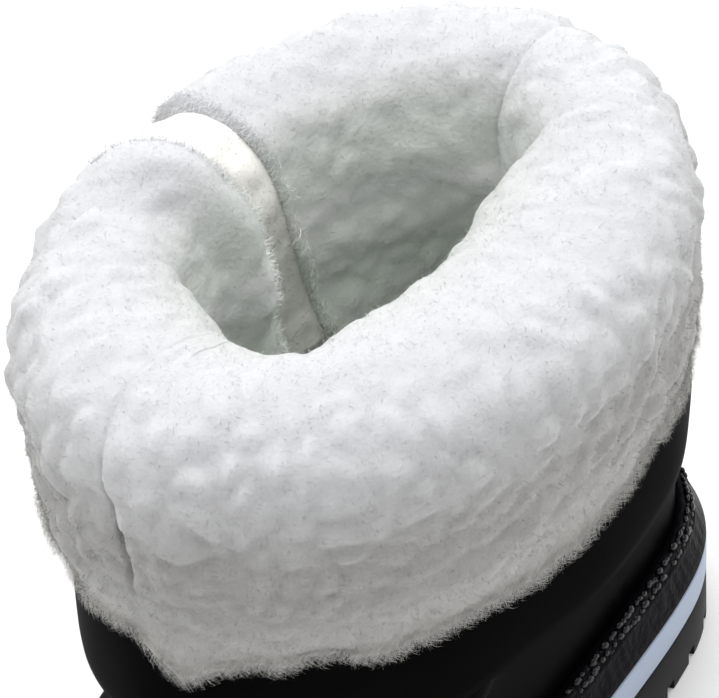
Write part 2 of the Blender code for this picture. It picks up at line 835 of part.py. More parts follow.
def make_zip():
    """The closed zip on the foot's inner side: tape with a row of teeth down its middle."""
    rings = upper_rings(sole_outline(AROUND))
    half = ZIP_WIDTH / 2.0
    top = ZIP_THICKNESS + ZIP_TEETH_PROUD
    profile = (
        (-1.00, 0.0),
        (-1.00, ZIP_THICKNESS),
        (-0.24, ZIP_THICKNESS),
        (-0.20, top),
        (0.20, top),
        (0.24, ZIP_THICKNESS),
        (1.00, ZIP_THICKNESS),
        (1.00, 0.0),
    )
    steps = 8
    sections = []
    for step in range(steps + 1):
        height = mix(ZIP_LOW, RIM_HEIGHT - ZIP_UNDER_BAND, step / steps)
        row, here = zip_point(rings, height)
        side = inner_side_point(rings, here.x + half, row) - inner_side_point(rings, here.x - half, row)
        side.normalize()
        up = (zip_point(rings, height + ZIP_UNDER_BAND)[1] - here).normalized()
        out = up.cross(side).normalized()
        if out.y > 0.0:
            out = -out
        sections.append([here + side * (across * half) + out * (CURVED_GAP + rise) for across, rise in profile])
    return strip_solid("zip", sections)


def clear_scene():
    """Removes every object of the open file."""
    for item in list(bpy.data.objects):
        bpy.data.objects.remove(item)


def add_cutters(target, pieces, collection):
    """Cuts the pieces out of the target, each by its own Boolean."""
    for piece in pieces:
        collection.objects.link(piece)
        piece.hide_render = True
        piece.display_type = "WIRE"
    cut = target.modifiers.new("gaps", "BOOLEAN")
    cut.operation = "DIFFERENCE"
    cut.operand_type = "COLLECTION"
    cut.collection = collection
    cut.solver = "EXACT"


def main():
    """Builds every piece of the boot."""
    clear_scene()
    boot = bpy.data.collections.new("snow_boot")
    cutters = bpy.data.collections.new("cutters")
    bpy.context.scene.collection.children.link(boot)
    bpy.context.scene.collection.children.link(cutters)

    black_rubber = (0.012, 0.012, 0.014)
    black_cloth = (0.010, 0.010, 0.011)
    pale_blue = (0.46, 0.53, 0.67)
    ivory = (0.83, 0.79, 0.70)
    white = (0.84, 0.85, 0.86)

    outsole = finish(make_outsole(), boot, black_rubber, 0.6)
    add_cutters(outsole, crosswise_gaps() + end_gaps(), cutters)
    finish(make_midsole(), boot, pale_blue, 0.45)
    finish(make_sidewall(), boot, black_rubber, 0.5)
    finish(make_upper(), boot, black_cloth, 0.75)
    finish(make_insole(), boot, (0.35, 0.34, 0.33), 0.95)
    finish(make_cuff_band(), boot, black_cloth, 0.6)
    finish(make_cuff_fleece(), boot, white, 1.0, sharp_angle=70.0)
    front = FACING_SPLIT / 2.0
    finish(make_facing("zip_facing_front", front, front + FACING_WIDTH), boot, ivory, 0.9)
    finish(make_facing("zip_facing_rear", -front - REAR_FACING_WIDTH, -front), boot, ivory, 0.9)
    finish(make_zip(), boot, black_cloth, 0.5)


main()
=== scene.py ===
"""Looks of the left snow boot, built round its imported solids.

Metres throughout. The origin is on the floor under the middle of the heel; +X points to the toe, +Y to the
boot's outer side and +Z up.
"""

import json
import logging
import math
from dataclasses import dataclass
from enum import Enum

import bmesh
import bpy
import numpy as np
from mathutils import Matrix, Vector, kdtree, noise

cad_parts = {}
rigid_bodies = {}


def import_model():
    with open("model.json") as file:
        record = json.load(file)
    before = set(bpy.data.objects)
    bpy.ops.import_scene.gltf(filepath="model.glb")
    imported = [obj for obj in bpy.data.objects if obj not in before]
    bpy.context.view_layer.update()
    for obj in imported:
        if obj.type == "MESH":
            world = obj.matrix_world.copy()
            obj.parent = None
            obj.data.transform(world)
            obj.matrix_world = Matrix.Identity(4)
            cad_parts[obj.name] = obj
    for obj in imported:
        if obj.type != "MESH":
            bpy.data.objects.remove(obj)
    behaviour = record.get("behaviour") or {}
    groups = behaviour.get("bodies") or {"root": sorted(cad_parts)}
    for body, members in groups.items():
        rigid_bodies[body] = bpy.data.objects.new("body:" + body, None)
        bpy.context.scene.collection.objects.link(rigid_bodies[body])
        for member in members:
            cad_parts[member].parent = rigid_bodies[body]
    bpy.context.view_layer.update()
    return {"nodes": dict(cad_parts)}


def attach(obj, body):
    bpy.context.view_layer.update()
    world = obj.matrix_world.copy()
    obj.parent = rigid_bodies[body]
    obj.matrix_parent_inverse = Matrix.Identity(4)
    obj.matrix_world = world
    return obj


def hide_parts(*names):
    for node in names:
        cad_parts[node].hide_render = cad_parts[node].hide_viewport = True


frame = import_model()

LOG = logging.getLogger("snow_boot")
BODY = "root"
TINY = 1e-12

Values = float | np.ndarray
Colour = tuple[float, float, float]
Table = tuple[tuple[float, float], ...]


class Cap(Enum):
    """How the ends of a skin over rings are closed."""

    NONE = "none"
    BOTH = "both"


def mix(low: Values, high: Values, share: Values) -> Values:
    """The value a share of the way from low to high."""
    return low + (high - low) * share


def smooth(share: Values) -> Values:
    """An S-shaped step from 0 to 1, flat at both ends."""
    share = np.clip(share, 0.0, 1.0)
    return share * share * (3.0 - 2.0 * share)


def bump(distance: Values, half_width: float) -> Values:
    """A soft bump that is 1 at distance 0 and ends at half_width."""
    return smooth(1.0 - np.abs(distance) / half_width)


def wrapped(angle: Values) -> Values:
    """The angle brought between -pi and pi."""
    return (angle + math.pi) % (2.0 * math.pi) - math.pi


def looked_up(place: Values, table: Table) -> Values:
    """The value at a place, on straight lines between a table's rows of place and value."""
    places, values = zip(*table)
    return np.interp(place, places, values)


def passing(
    before: np.ndarray, start: np.ndarray, end: np.ndarray, after: np.ndarray, share: Values
) -> np.ndarray:
    """A place on the smooth curve through four points, a share of the way from start to end."""
    return 0.5 * (
        2.0 * start
        + (end - before) * share
        + (2.0 * before - 5.0 * start + 4.0 * end - after) * share**2
        + (3.0 * start - before - 3.0 * end + after) * share**3
    )


def fractal(spots: np.ndarray, dimension: float, lacunarity: float, octaves: int) -> np.ndarray:
    """Fractal noise at each place."""
    return np.array([noise.fractal(Vector(spot), dimension, lacunarity, octaves) for spot in spots])


def unit(vectors: np.ndarray) -> np.ndarray:
    """Vectors brought to length 1."""
    return vectors / np.maximum(np.linalg.norm(vectors, axis=-1, keepdims=True), TINY)


def deselect() -> None:
    """Leaves nothing selected, so that an operator acts on the new piece alone."""
    bpy.ops.object.select_all(action="DESELECT")


def only(item: bpy.types.Object) -> None:
    """Selects one object and makes it active."""
    deselect()
    item.select_set(True)
    bpy.context.view_layer.objects.active = item


def apply_modifiers(item: bpy.types.Object) -> None:
    """Applies every modifier of a piece, from the first to the last."""
    only(item)
    for modifier in list(item.modifiers):
        bpy.ops.object.modifier_apply(modifier=modifier.name)


def ladder(count: int, start: int) -> list[tuple[int, ...]]:
    """Faces that close a ring crosswise, from its back end to its front end."""
    faces = [(start, start + 1, start + count - 1)]
    for index in range(1, count // 2 - 1):
        faces.append((start + index, start + index + 1, start + count - index - 1, start + count - index))
    middle = count // 2
    faces.append((start + middle - 1, start + middle, start + middle + 1))
    return faces


def skin(name: str, rings: np.ndarray, cap: Cap = Cap.NONE, rolled: bool = False) -> bpy.types.Object:
    """A skin over rings of corners: a grid laid over them, its seams merged and its ends closed.

    Args:
        name: the piece's name.
        rings: corners, as rings by corners by three.
        cap: whether the first and last ring are closed crosswise.
        rolled: whether the last ring joins the first.

    Returns:
        The new piece, with its faces outwards where it is closed.
    """
    rows, count = rings.shape[:2]
    spots = np.concatenate([rings, rings[:, :1]], axis=1)
    spots = np.concatenate([spots, spots[:1]], axis=0) if rolled else spots
    height, width = spots.shape[:2]
    deselect()
    bpy.ops.mesh.primitive_grid_add(x_subdivisions=width - 1, y_subdivisions=height - 1, size=1.0)
    item = bpy.context.object
    item.name = name
    item.data.name = name
    item.data.vertices.foreach_set("co", np.ascontiguousarray(spots, dtype=np.float32).ravel())
    shape = bmesh.new()
    shape.from_mesh(item.data)
    shape.verts.ensure_lookup_table()
    pairs = {}
    for row in range(height):
        for column in range(width):
            home = (row % rows) * width + column % count
            if home != row * width + column:
                pairs[shape.verts[row * width + column]] = shape.verts[home]
    bmesh.ops.weld_verts(shape, targetmap=pairs)
    if cap is Cap.BOTH:
        shape.verts.ensure_lookup_table()
        for corners in ladder(count, 0) + ladder(count, (rows - 1) * count):
            shape.faces.new([shape.verts[corner] for corner in corners])
    if cap is Cap.BOTH or rolled:
        bmesh.ops.recalc_face_normals(shape, faces=shape.faces)
    shape.to_mesh(item.data)
    shape.free()
    bpy.ops.object.shade_smooth()
    return item


def bare_mesh(
    name: str, corners: np.ndarray, quads: np.ndarray, triangles: np.ndarray
) -> bpy.types.Object:
    """A mesh object from corner places and faces.

    Args:
        name: the piece's name.
        corners: places, corners by three.
        quads: corner numbers, faces by four.
        triangles: corner numbers, faces by three.

    Returns:
        The new object, linked to the scene.
    """
    mesh = bpy.data.meshes.new(name)
    mesh.vertices.add(len(corners))
    mesh.vertices.foreach_set("co", np.ascontiguousarray(corners, dtype=np.float32).ravel())
    loops = np.concatenate([quads.ravel(), triangles.ravel()]).astype(np.int32)
    mesh.loops.add(len(loops))
    mesh.loops.foreach_set("vertex_index", loops)
    starts = np.concatenate([np.arange(len(quads)) * 4, quads.size + np.arange(len(triangles)) * 3])
    mesh.polygons.add(len(starts))
    mesh.polygons.foreach_set("loop_start", starts.astype(np.int32))
    mesh.update(calc_edges=True)
    item = bpy.data.objects.new(name, mesh)
    bpy.context.scene.collection.objects.link(item)
    return item


@dataclass(frozen=True)
class Model:
    """A small shape that is copied many times: its corner places and its faces."""

    corners: np.ndarray
    quads: np.ndarray
    triangles: np.ndarray

    @classmethod
    def taken_from(cls, item: bpy.types.Object) -> "Model":
        """The shape of an object, which is then removed."""
        corners = np.array([vertex.co for vertex in item.data.vertices])
        faces = [tuple(polygon.vertices) for polygon in item.data.polygons]
        bpy.data.objects.remove(item)
        quads = np.array([face for face in faces if len(face) == 4])
        triangles = np.array([face for face in faces if len(face) == 3])
        return cls(corners, quads, triangles)

    def at(
        self, spot: np.ndarray, directions: tuple[np.ndarray, ...], size: float, shares: tuple[float, ...]
    ) -> np.ndarray:
        """Corner places of one copy.

        Args:
            spot: place of its middle.
            directions: directions of its three axes.
            size: its size.
            shares: share of the size along each axis.

        Returns:
            The places.
        """
        axes = zip(self.corners.T, directions, shares)
        return sum(axis[:, None] * direction * size * share for axis, direction, share in axes) + spot

    def copies(self, name: str, places: list[np.ndarray]) -> bpy.types.Object:
        """One mesh of many copies, from the corner places of each."""
        offsets = (np.arange(len(places)) * len(self.corners))[:, None, None]
        quads = (self.quads + offsets).reshape(-1, 4)
        triangles = (self.triangles + offsets).reshape(-1, 3)
        return bare_mesh(name, np.concatenate(places), quads, triangles)


def add_tint(item: bpy.types.Object, colours: np.ndarray) -> None:
    """Stores a colour on each corner, which a tinted finish reads."""
    attribute = item.data.attributes.new("tint", "FLOAT_COLOR", "POINT")
    flat = colours.reshape(-1, 3)
    with_alpha = np.column_stack([flat, np.ones(len(flat))])
    attribute.data.foreach_set("color", with_alpha.astype(np.float32).ravel())


def place(item: bpy.types.Object, material: bpy.types.Material, slot: str, *solids: str) -> None:
    """Gives a piece its material and body, and hides the solids that it stands for.

    Args:
        item: the finished piece.
        material: its material.
        slot: the record's material slot; not used.
        solids: CAD nodes that the piece replaces.
    """
    item.data.materials.clear()
    item.data.materials.append(material)
    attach(item, BODY)
    if solids:
        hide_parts(*solids)
    LOG.info("%s: %d faces", item.name, len(item.data.polygons))


# Shader groups and finishes


def set_inputs(node: bpy.types.Node, values: dict[str, float | Colour]) -> None:
    """Sets a shader node's inputs by name."""
    for name, value in values.items():
        node.inputs[name].default_value = value


def grain_group() -> bpy.types.NodeTree:
    """Fine grain over a broad mottle, on the piece's own coordinates.

    Returns:
        A shader node group with the outputs Height and Mottle, both from 0 to 1.
    """
    tree = bpy.data.node_groups.new("grain_and_mottle", "ShaderNodeTree")
    for name, value in (("Grain Size", 0.0004), ("Mottle Size", 0.01), ("Grain Share", 0.5)):
        socket = tree.interface.new_socket(name=name, in_out="INPUT", socket_type="NodeSocketFloat")
        socket.default_value = value
    for name in ("Height", "Mottle"):
        tree.interface.new_socket(name=name, in_out="OUTPUT", socket_type="NodeSocketFloat")
    nodes = tree.nodes
    links = tree.links
    given = nodes.new("NodeGroupInput")
    result = nodes.new("NodeGroupOutput")
    coordinates = nodes.new("ShaderNodeTexCoord")
    textures = []
    for name in ("Grain Size", "Mottle Size"):
        scale = nodes.new("ShaderNodeMath")
        scale.operation = "DIVIDE"
        scale.inputs[0].default_value = 1.0
        links.new(given.outputs[name], scale.inputs[1])
        texture = nodes.new("ShaderNodeTexNoise")
        texture.inputs["Detail"].default_value = 3.0
        links.new(coordinates.outputs["Object"], texture.inputs["Vector"])
        links.new(scale.outputs[0], texture.inputs["Scale"])
        textures.append(texture)
    fine, broad = textures
    blend = nodes.new("ShaderNodeMix")
    blend.data_type = "FLOAT"
    links.new(given.outputs["Grain Share"], blend.inputs[0])
    links.new(broad.outputs[0], blend.inputs[2])
    links.new(fine.outputs[0], blend.inputs[3])
    links.new(blend.outputs[0], result.inputs["Height"])
    links.new(broad.outputs[0], result.inputs["Mottle"])
    return tree


@dataclass(frozen=True, kw_only=True)
class Finish:
    """A finish with a fine grain in relief, coloured by the tint stored on each corner."""

    name: str
    roughness: float
    grain: float = 0.0004
    mottle: float = 0.010
    grain_share: float = 0.5
    relief: float = 0.0001
    sheen: float = 0.0
    sheen_roughness: float = 0.5
    subsurface: float = 0.0
    subsurface_reach: float = 0.003
    specular: float = 0.5

    def material(self, group: bpy.types.NodeTree) -> bpy.types.Material:
        """Builds the material.

        Args:
            group: the shared group of grain and mottle.

        Returns:
            The new material.
        """
        material = bpy.data.materials.new(self.name)
        material.use_nodes = True
        nodes = material.node_tree.nodes
        links = material.node_tree.links
        shader = nodes["Principled BSDF"]
        surface = {
            "Roughness": self.roughness,
            "Sheen Weight": self.sheen,
            "Sheen Roughness": self.sheen_roughness,
            "Specular IOR Level": self.specular,
        }
        if self.subsurface > 0.0:
            surface["Subsurface Weight"] = self.subsurface
            surface["Subsurface Radius"] = (1.0, 1.0, 1.0)
            surface["Subsurface Scale"] = self.subsurface_reach
        set_inputs(shader, surface)
        grain = nodes.new("ShaderNodeGroup")
        grain.node_tree = group
        sizes = {"Grain Size": self.grain, "Mottle Size": self.mottle, "Grain Share": self.grain_share}
        set_inputs(grain, sizes)
        relief = nodes.new("ShaderNodeBump")
        relief.inputs["Distance"].default_value = self.relief
        links.new(grain.outputs["Height"], relief.inputs["Height"])
        links.new(relief.outputs[0], shader.inputs["Normal"])
        links.new(self.colour_source(nodes, links, grain), shader.inputs["Base Color"])
        return material

    def colour_source(
        self, nodes: bpy.types.Nodes, links: bpy.types.NodeLinks, grain: bpy.types.Node
    ) -> bpy.types.NodeSocket:
        """The socket that gives the colour: here the tint on the corners."""
        tint = nodes.new("ShaderNodeAttribute")
        tint.attribute_type = "GEOMETRY"
        tint.attribute_name = "tint"
        return tint.outputs["Color"]


@dataclass(frozen=True, kw_only=True)
class MottledFinish(Finish):
    """A finish in two colours, mixed by the broad mottle."""

    colour: Colour
    other: Colour

    def colour_source(
        self, nodes: bpy.types.Nodes, links: bpy.types.NodeLinks, grain: bpy.types.Node
    ) -> bpy.types.NodeSocket:
        """The socket that gives the colour: here both colours, mixed by the mottle."""
        colour = nodes.new("ShaderNodeMix")
        colour.data_type = "RGBA"
        colour.inputs[6].default_value = (*self.colour, 1.0)
        colour.inputs[7].default_value = (*self.other, 1.0)
        links.new(grain.outputs["Mottle"], colour.inputs[0])
        return colour.outputs[2]


PLUSH = Finish(
    name="white_plush",
    roughness=1.0,
    grain=0.0011,
    mottle=0.0035,
    grain_share=0.6,
    relief=0.0006,
    sheen=0.1,
    subsurface=0.8,
    specular=0.0,
)
PLUSH_FIBRE = Finish(name="white_plush_fibre", roughness=1.0, relief=0.00001, specular=0.0)
PILE = MottledFinish(
    name="ivory_pile",
    colour=(0.93, 0.915, 0.885),
    other=(0.90, 0.88, 0.835),
    roughness=1.0,
    grain=0.0006,
    grain_share=0.8,
    specular=0.0,
)
CLOTH = MottledFinish(
    name="black_cloth",
    colour=(0.0024, 0.0024, 0.0026),
    other=(0.0036, 0.0036, 0.0039),
    roughness=0.5,
    grain=0.0005,
    relief=0.00008,
    specular=0.005,
)
UPPER_CLOTH = MottledFinish(
    name="black_upper_cloth",
    colour=(0.0016, 0.0016, 0.0018),
    other=(0.0028, 0.0028, 0.0030),
    roughness=0.45,
    grain=0.0006,
    specular=0.012,
)
RUBBER = MottledFinish(
    name="black_rubber",
    colour=(0.0010, 0.0010, 0.0016),
    other=(0.0060, 0.0055, 0.0080),
    roughness=0.42,
    grain=0.0014,
    mottle=0.0045,
    grain_share=0.35,
    relief=0.0010,
    specular=0.05,
)
KNURL = MottledFinish(
    name="black_knurl_rubber",
    colour=(0.001, 0.001, 0.002),
    other=(0.005, 0.005, 0.007),
    roughness=0.18,
    grain=0.0006,
    relief=0.0003,
    specular=0.28,
)
SOLE_RUBBER = MottledFinish(
    name="black_sole_rubber",
    colour=(0.003, 0.003, 0.0035),
    other=(0.006, 0.006, 0.007),
    roughness=0.5,
    grain=0.0008,
    specular=0.10,
)
STRIPE = MottledFinish(
    name="pale_stripe",
    colour=(0.41, 0.475, 0.60),
    other=(0.38, 0.445, 0.565),
    roughness=0.45,
    grain=0.0008,
    relief=0.00003,
    specular=0.3,
)
FELT = MottledFinish(
    name="insole_felt",
    colour=(0.40, 0.41, 0.40),
    other=(0.30, 0.31, 0.30),
    roughness=1.0,
    grain=0.0005,
    relief=0.0002,
)
TAPE = MottledFinish(
    name="zip_tape",
    colour=(0.006, 0.006, 0.007),
    other=(0.010, 0.010, 0.011),
    roughness=0.8,
    grain=0.0005,
    specular=0.1,
)
TEETH = MottledFinish(
    name="zip_teeth",
    colour=(0.02, 0.02, 0.022),
    other=(0.03, 0.03, 0.033),
    roughness=0.35,
    relief=0.00002,
)
FLOOR = MottledFinish(
    name="pale_floor",
    colour=(0.87, 0.87, 0.87),
    other=(0.86, 0.86, 0.86),
    roughness=0.9,
    mottle=0.4,
    relief=0.00001,
    specular=0.0,
)


# Shapes that several pieces follow


@dataclass(frozen=True)
class SoleShape:
    """Outline and heights of the sole unit, which the pieces of the foot follow."""

    length: float = 0.300
    ball_width: float = 0.112
    waist_width: float = 0.084
    heel_width: float = 0.0896
    heel_reach: float = 0.048
    toe_spring: float = 0.011
    arch_height: float = 0.0035
    arch_middle: float = 0.44
    arch_span: float = 0.26
    heel_outsole: float = 0.0185
    ball_outsole: float = 0.0140
    heel_stripe: float = 0.0115
    ball_stripe: float = 0.0085
    heel_sidewall: float = 0.0125
    ball_sidewall: float = 0.0115
    tip_inward: float = 0.24
    spring_start: float = 0.70
    spring_span: float = 0.30
    spring_power: float = 1.8
    ball_start: float = 0.25
    ball_span: float = 0.40
    curve_steps: int = 12

    def outline(self, count: int) -> np.ndarray:
        """The sole's edge from above: from the back of the heel, round the outer side first.

        Args:
            count: number of points, even.

        Returns:
            Points by two.
        """
        # Share of the length, width there, and how far the outer and the inner side reach of half of it
        table = (
            (0.0100, self.heel_width, 0.434, 0.434),
            (0.0380, self.heel_width, 0.740, 0.740),
            (0.0830, self.heel_width, 0.933, 0.933),
            (0.1500, self.heel_width, 1.000, 1.000),
            (0.2700, self.heel_width, 0.985, 0.960),
            (0.4200, self.waist_width, 1.000, 0.940),
            (0.5600, self.ball_width, 0.950, 0.860),
            (0.6700, self.ball_width, 1.000, 0.980),
            (0.7700, self.ball_width, 0.955, 1.030),
            (0.8600, self.ball_width, 0.790, 1.000),
            (0.9300, self.ball_width, 0.520, 0.860),
            (0.9750, self.ball_width, 0.200, 0.640),
        )
        outer = []
        inner = []
        for along, width, outer_side, inner_side in table:
            x = along * self.length - self.heel_reach
            outer.append((x, outer_side * width / 2.0))
            inner.append((x, -inner_side * width / 2.0))
        back = (-self.heel_reach, 0.0)
        tip = (self.length - self.heel_reach, -self.tip_inward * self.ball_width / 2.0)
        corners = np.array([back] + outer + [tip] + inner[::-1])
        shares = (np.arange(self.curve_steps) / self.curve_steps)[None, :, None]
        around = [np.roll(corners, shift, axis=0)[:, None, :] for shift in (1, 0, -1, -2)]
        curve = passing(*around, shares).reshape(-1, 2)
        turn = self.curve_steps * (len(outer) + 1)
        halves = (curve[: turn + 1], np.vstack([curve[turn:], curve[:1]]))
        return np.vstack([evenly(half, count // 2)[:-1] for half in halves])

    def share(self, x: np.ndarray) -> np.ndarray:
        """Where x lies along the sole: 0 at the heel, 1 at the toe."""
        return (x + self.heel_reach) / self.length

    def toe_rise(self, x: np.ndarray) -> np.ndarray:
        """How far the toe spring lifts the sole at x."""
        risen = np.maximum((self.share(x) - self.spring_start) / self.spring_span, 0.0)
        return self.toe_spring * risen**self.spring_power

    def underside(self, x: np.ndarray) -> np.ndarray:
        """Height of the sole's underside at x."""
        arch = bump(self.share(x) - self.arch_middle, self.arch_span / 2.0)
        return self.toe_rise(x) + self.arch_height * arch

    def to_ball(self, x: np.ndarray) -> np.ndarray:
        """0 at the heel and 1 from the ball forwards."""
        return smooth((self.share(x) - self.ball_start) / self.ball_span)

    def outsole_top(self, x: np.ndarray) -> np.ndarray:
        """Height of the outsole's upper face."""
        return mix(self.heel_outsole, self.ball_outsole, self.to_ball(x)) + self.toe_rise(x)

    def stripe_top(self, x: np.ndarray) -> np.ndarray:
        """Height of the stripe's upper face."""
        return self.outsole_top(x) + mix(self.heel_stripe, self.ball_stripe, self.to_ball(x))

    def sidewall_top(self, x: np.ndarray) -> np.ndarray:
        """Height of the rubber cup's upper edge."""
        return self.stripe_top(x) + mix(self.heel_sidewall, self.ball_sidewall, self.to_ball(x))


def evenly(points: np.ndarray, count: int) -> np.ndarray:
    """The polyline cut into count equal lengths, with both ends kept."""
    steps = np.linalg.norm(np.diff(points, axis=0), axis=1)
    lengths = np.concatenate([[0.0], np.cumsum(steps)])
    wanted = np.linspace(0.0, lengths[-1], count + 1)
    return np.column_stack([np.interp(wanted, lengths, axis) for axis in points.T])


def inset(outline: np.ndarray, by: Values) -> np.ndarray:
    """A closed outline moved inwards along its own normals."""
    run = np.roll(outline, -1, axis=0) - np.roll(outline, 1, axis=0)
    normal = unit(np.column_stack([run[:, 1], -run[:, 0]]))
    return outline + normal * np.reshape(by, (-1, 1))


def at_height(outline: np.ndarray, heights: np.ndarray) -> np.ndarray:
    """An outline with a height for each of its points."""
    return np.column_stack([outline, heights])


@dataclass(frozen=True)
class Oval:
    """A level oval: the place of its middle along X, half its length and half its width."""

    x: Values
    a: Values
    b: Values

    def grown(self, by: Values) -> "Oval":
        """The oval moved outwards by a distance."""
        return Oval(self.x, self.a + by, self.b + by)

    def toward(self, other: "Oval", share: Values) -> "Oval":
        """The oval a share of the way to another one."""
        x = mix(self.x, other.x, share)
        return Oval(x, mix(self.a, other.a, share), mix(self.b, other.b, share))


@dataclass(frozen=True)
class CollarShape:
    """The shaft, the band and the fold of the cuff, which the pieces of the collar follow."""

    rim_height: float = 0.1152
    height: float = 0.200
    turn: float = math.radians(-7.0)
    y: float = 0.002
    tilt: float = 0.003
    length: float = 0.123
    width: float = 0.0918
    roll_radius: float = 0.0183
    inner_front: float = 0.0250
    inner_outside: float = 0.0270
    inner_rest: float = 0.0175
    upper_wall: float = 0.0028
    band_wall: float = 0.0026
    curved_gap: float = 0.0007
    lining_gap: float = 0.0011
    hem_height: float = 0.139
    hem_thickness: float = 0.0042
    lining_thickness: float = 0.0125
    lining_end: float = 0.118
    low: Oval = Oval(0.0545, 0.149 / 2.0, 0.094 / 2.0)
    rim: Oval = Oval(0.0546, 0.166 / 2.0, 0.1194 / 2.0)
    facing_slant: float = 0.014
    facing_rearward: float = 0.0083
    facing_split: float = 0.0012
    facing_width: float = 0.0120
    rear_facing_width: float = 0.0050
    channel_depth: float = 0.0042
    channel_ramp: float = 0.0035
    ridge_height: float = 0.0060
    ridge_width: float = 0.0140
    shaft_power: float = 0.8
    outer_side_spread: float = 1.2
    thinning_share: float = 0.75
    crest_row: float = 1.5

    @property
    def upper_top(self) -> float:
        """Height of the upper's top edge, inside the roll."""
        return self.height - self.roll_radius - self.tilt

    @property
    def mean_radius(self) -> float:
        """Mean radius of the fold."""
        return (self.length + self.width) / 4.0

    @property
    def fold(self) -> Oval:
        """The line that the cuff folds over, from above."""
        return Oval(0.0572, self.length / 2.0, self.width / 2.0)

    def fold_height(self, angle: np.ndarray) -> np.ndarray:
        """Height of the middle of the roll, a little higher on the outer side."""
        return self.height - self.roll_radius + self.tilt * np.sin(angle)

    def point(self, oval: Oval, angle: np.ndarray, z: np.ndarray) -> np.ndarray:
        """Points of an oval at angles from its front, turned with the collar."""
        along = oval.a * np.cos(angle)
        across = oval.b * np.sin(angle)
        turn_cos = math.cos(self.turn)
        turn_sin = math.sin(self.turn)
        x = oval.x + along * turn_cos - across * turn_sin
        y = self.y + along * turn_sin + across * turn_cos
        return np.stack(np.broadcast_arrays(x, y, z), axis=-1)

    def shaft(self, z: np.ndarray) -> Oval:
        """Outside of the shaft at height z."""
        risen = np.maximum((z - self.rim_height) / (self.upper_top - self.rim_height), 0.0)
        return self.low.toward(self.fold.grown(self.upper_wall / 2.0), risen**self.shaft_power)

    def band(self, z: np.ndarray) -> Oval:
        """Outside of the cuff's band at height z."""
        top = self.shaft(np.asarray(self.upper_top)).grown(self.curved_gap + self.band_wall)
        return self.rim.toward(top, smooth((z - self.rim_height) / (self.upper_top - self.rim_height)))

    def lining_depth(self, angle: np.ndarray, z: np.ndarray) -> np.ndarray:
        """How thick the plush is inside the fold at a height."""
        front = self.inner_front * smooth(np.cos(angle))
        outside = self.inner_outside * smooth(np.sin(angle) * self.outer_side_spread)
        crest = np.maximum(np.maximum(self.inner_rest, front), outside)
        top = self.fold_height(angle)
        share = smooth((top - z) / (self.thinning_share * (top - self.lining_end)))
        return mix(crest, self.lining_thickness, share)

    def face(self, angle: np.ndarray, along: np.ndarray) -> np.ndarray:
        """The plush's smooth face.

        Args:
            angle: angles from the collar's front.
            along: rows from the hem, 0, over the crest, 1 to 2, down inside to 3.

        Returns:
            The places.
        """
        top = self.fold_height(angle)
        low = np.clip(along, 0.0, 1.0)
        hem = self.band(np.asarray(self.hem_height)).grown(self.hem_thickness)
        wall = hem.toward(self.fold.grown(self.roll_radius), smooth(low) * 0.5 + low * 0.5)
        wall_spot = self.point(wall, angle, mix(self.hem_height, top, low))
        k = (np.clip(along, 1.0, 2.0) - 1.0) * math.pi
        reach = np.where(k < math.pi / 2.0, self.roll_radius, self.lining_depth(angle, top))
        crest = self.fold.grown(reach * np.cos(k))
        crest_spot = self.point(crest, angle, top + self.roll_radius * np.sin(k))
        z = mix(top, self.lining_end, np.clip(along, 2.0, 3.0) - 2.0)
        depth = -self.upper_wall / 2.0 - self.lining_depth(angle, z)
        inner_spot = self.point(self.shaft(np.minimum(z, self.upper_top)).grown(depth), angle, z)
        along = np.broadcast_to(along, wall_spot.shape[:-1])[..., None]
        return np.where(along < 1.0, wall_spot, np.where(along <= 2.0, crest_spot, inner_spot))

    def split_angle(self, along: np.ndarray) -> np.ndarray:
        """Angle of the line between the zip's facings."""
        forward = self.facing_slant * (1.0 - along / self.crest_row) - self.facing_rearward
        return -math.pi / 2.0 + forward * 2.0 / self.length

    def split_distance(self, angle: np.ndarray, along: np.ndarray) -> np.ndarray:
        """Distance along the ring from the line between the facings, positive to the front."""
        return wrapped(angle - self.split_angle(along)) * self.length / 2.0

    def channel_edges(self) -> tuple[float, float]:
        """Both sides of the channel's floor, as distances from the line between the facings."""
        rear = -(self.facing_split / 2.0 + self.rear_facing_width + self.curved_gap)
        return rear, self.facing_split / 2.0 + self.facing_width + self.curved_gap


SOLE = SoleShape()
COLLAR = CollarShape()


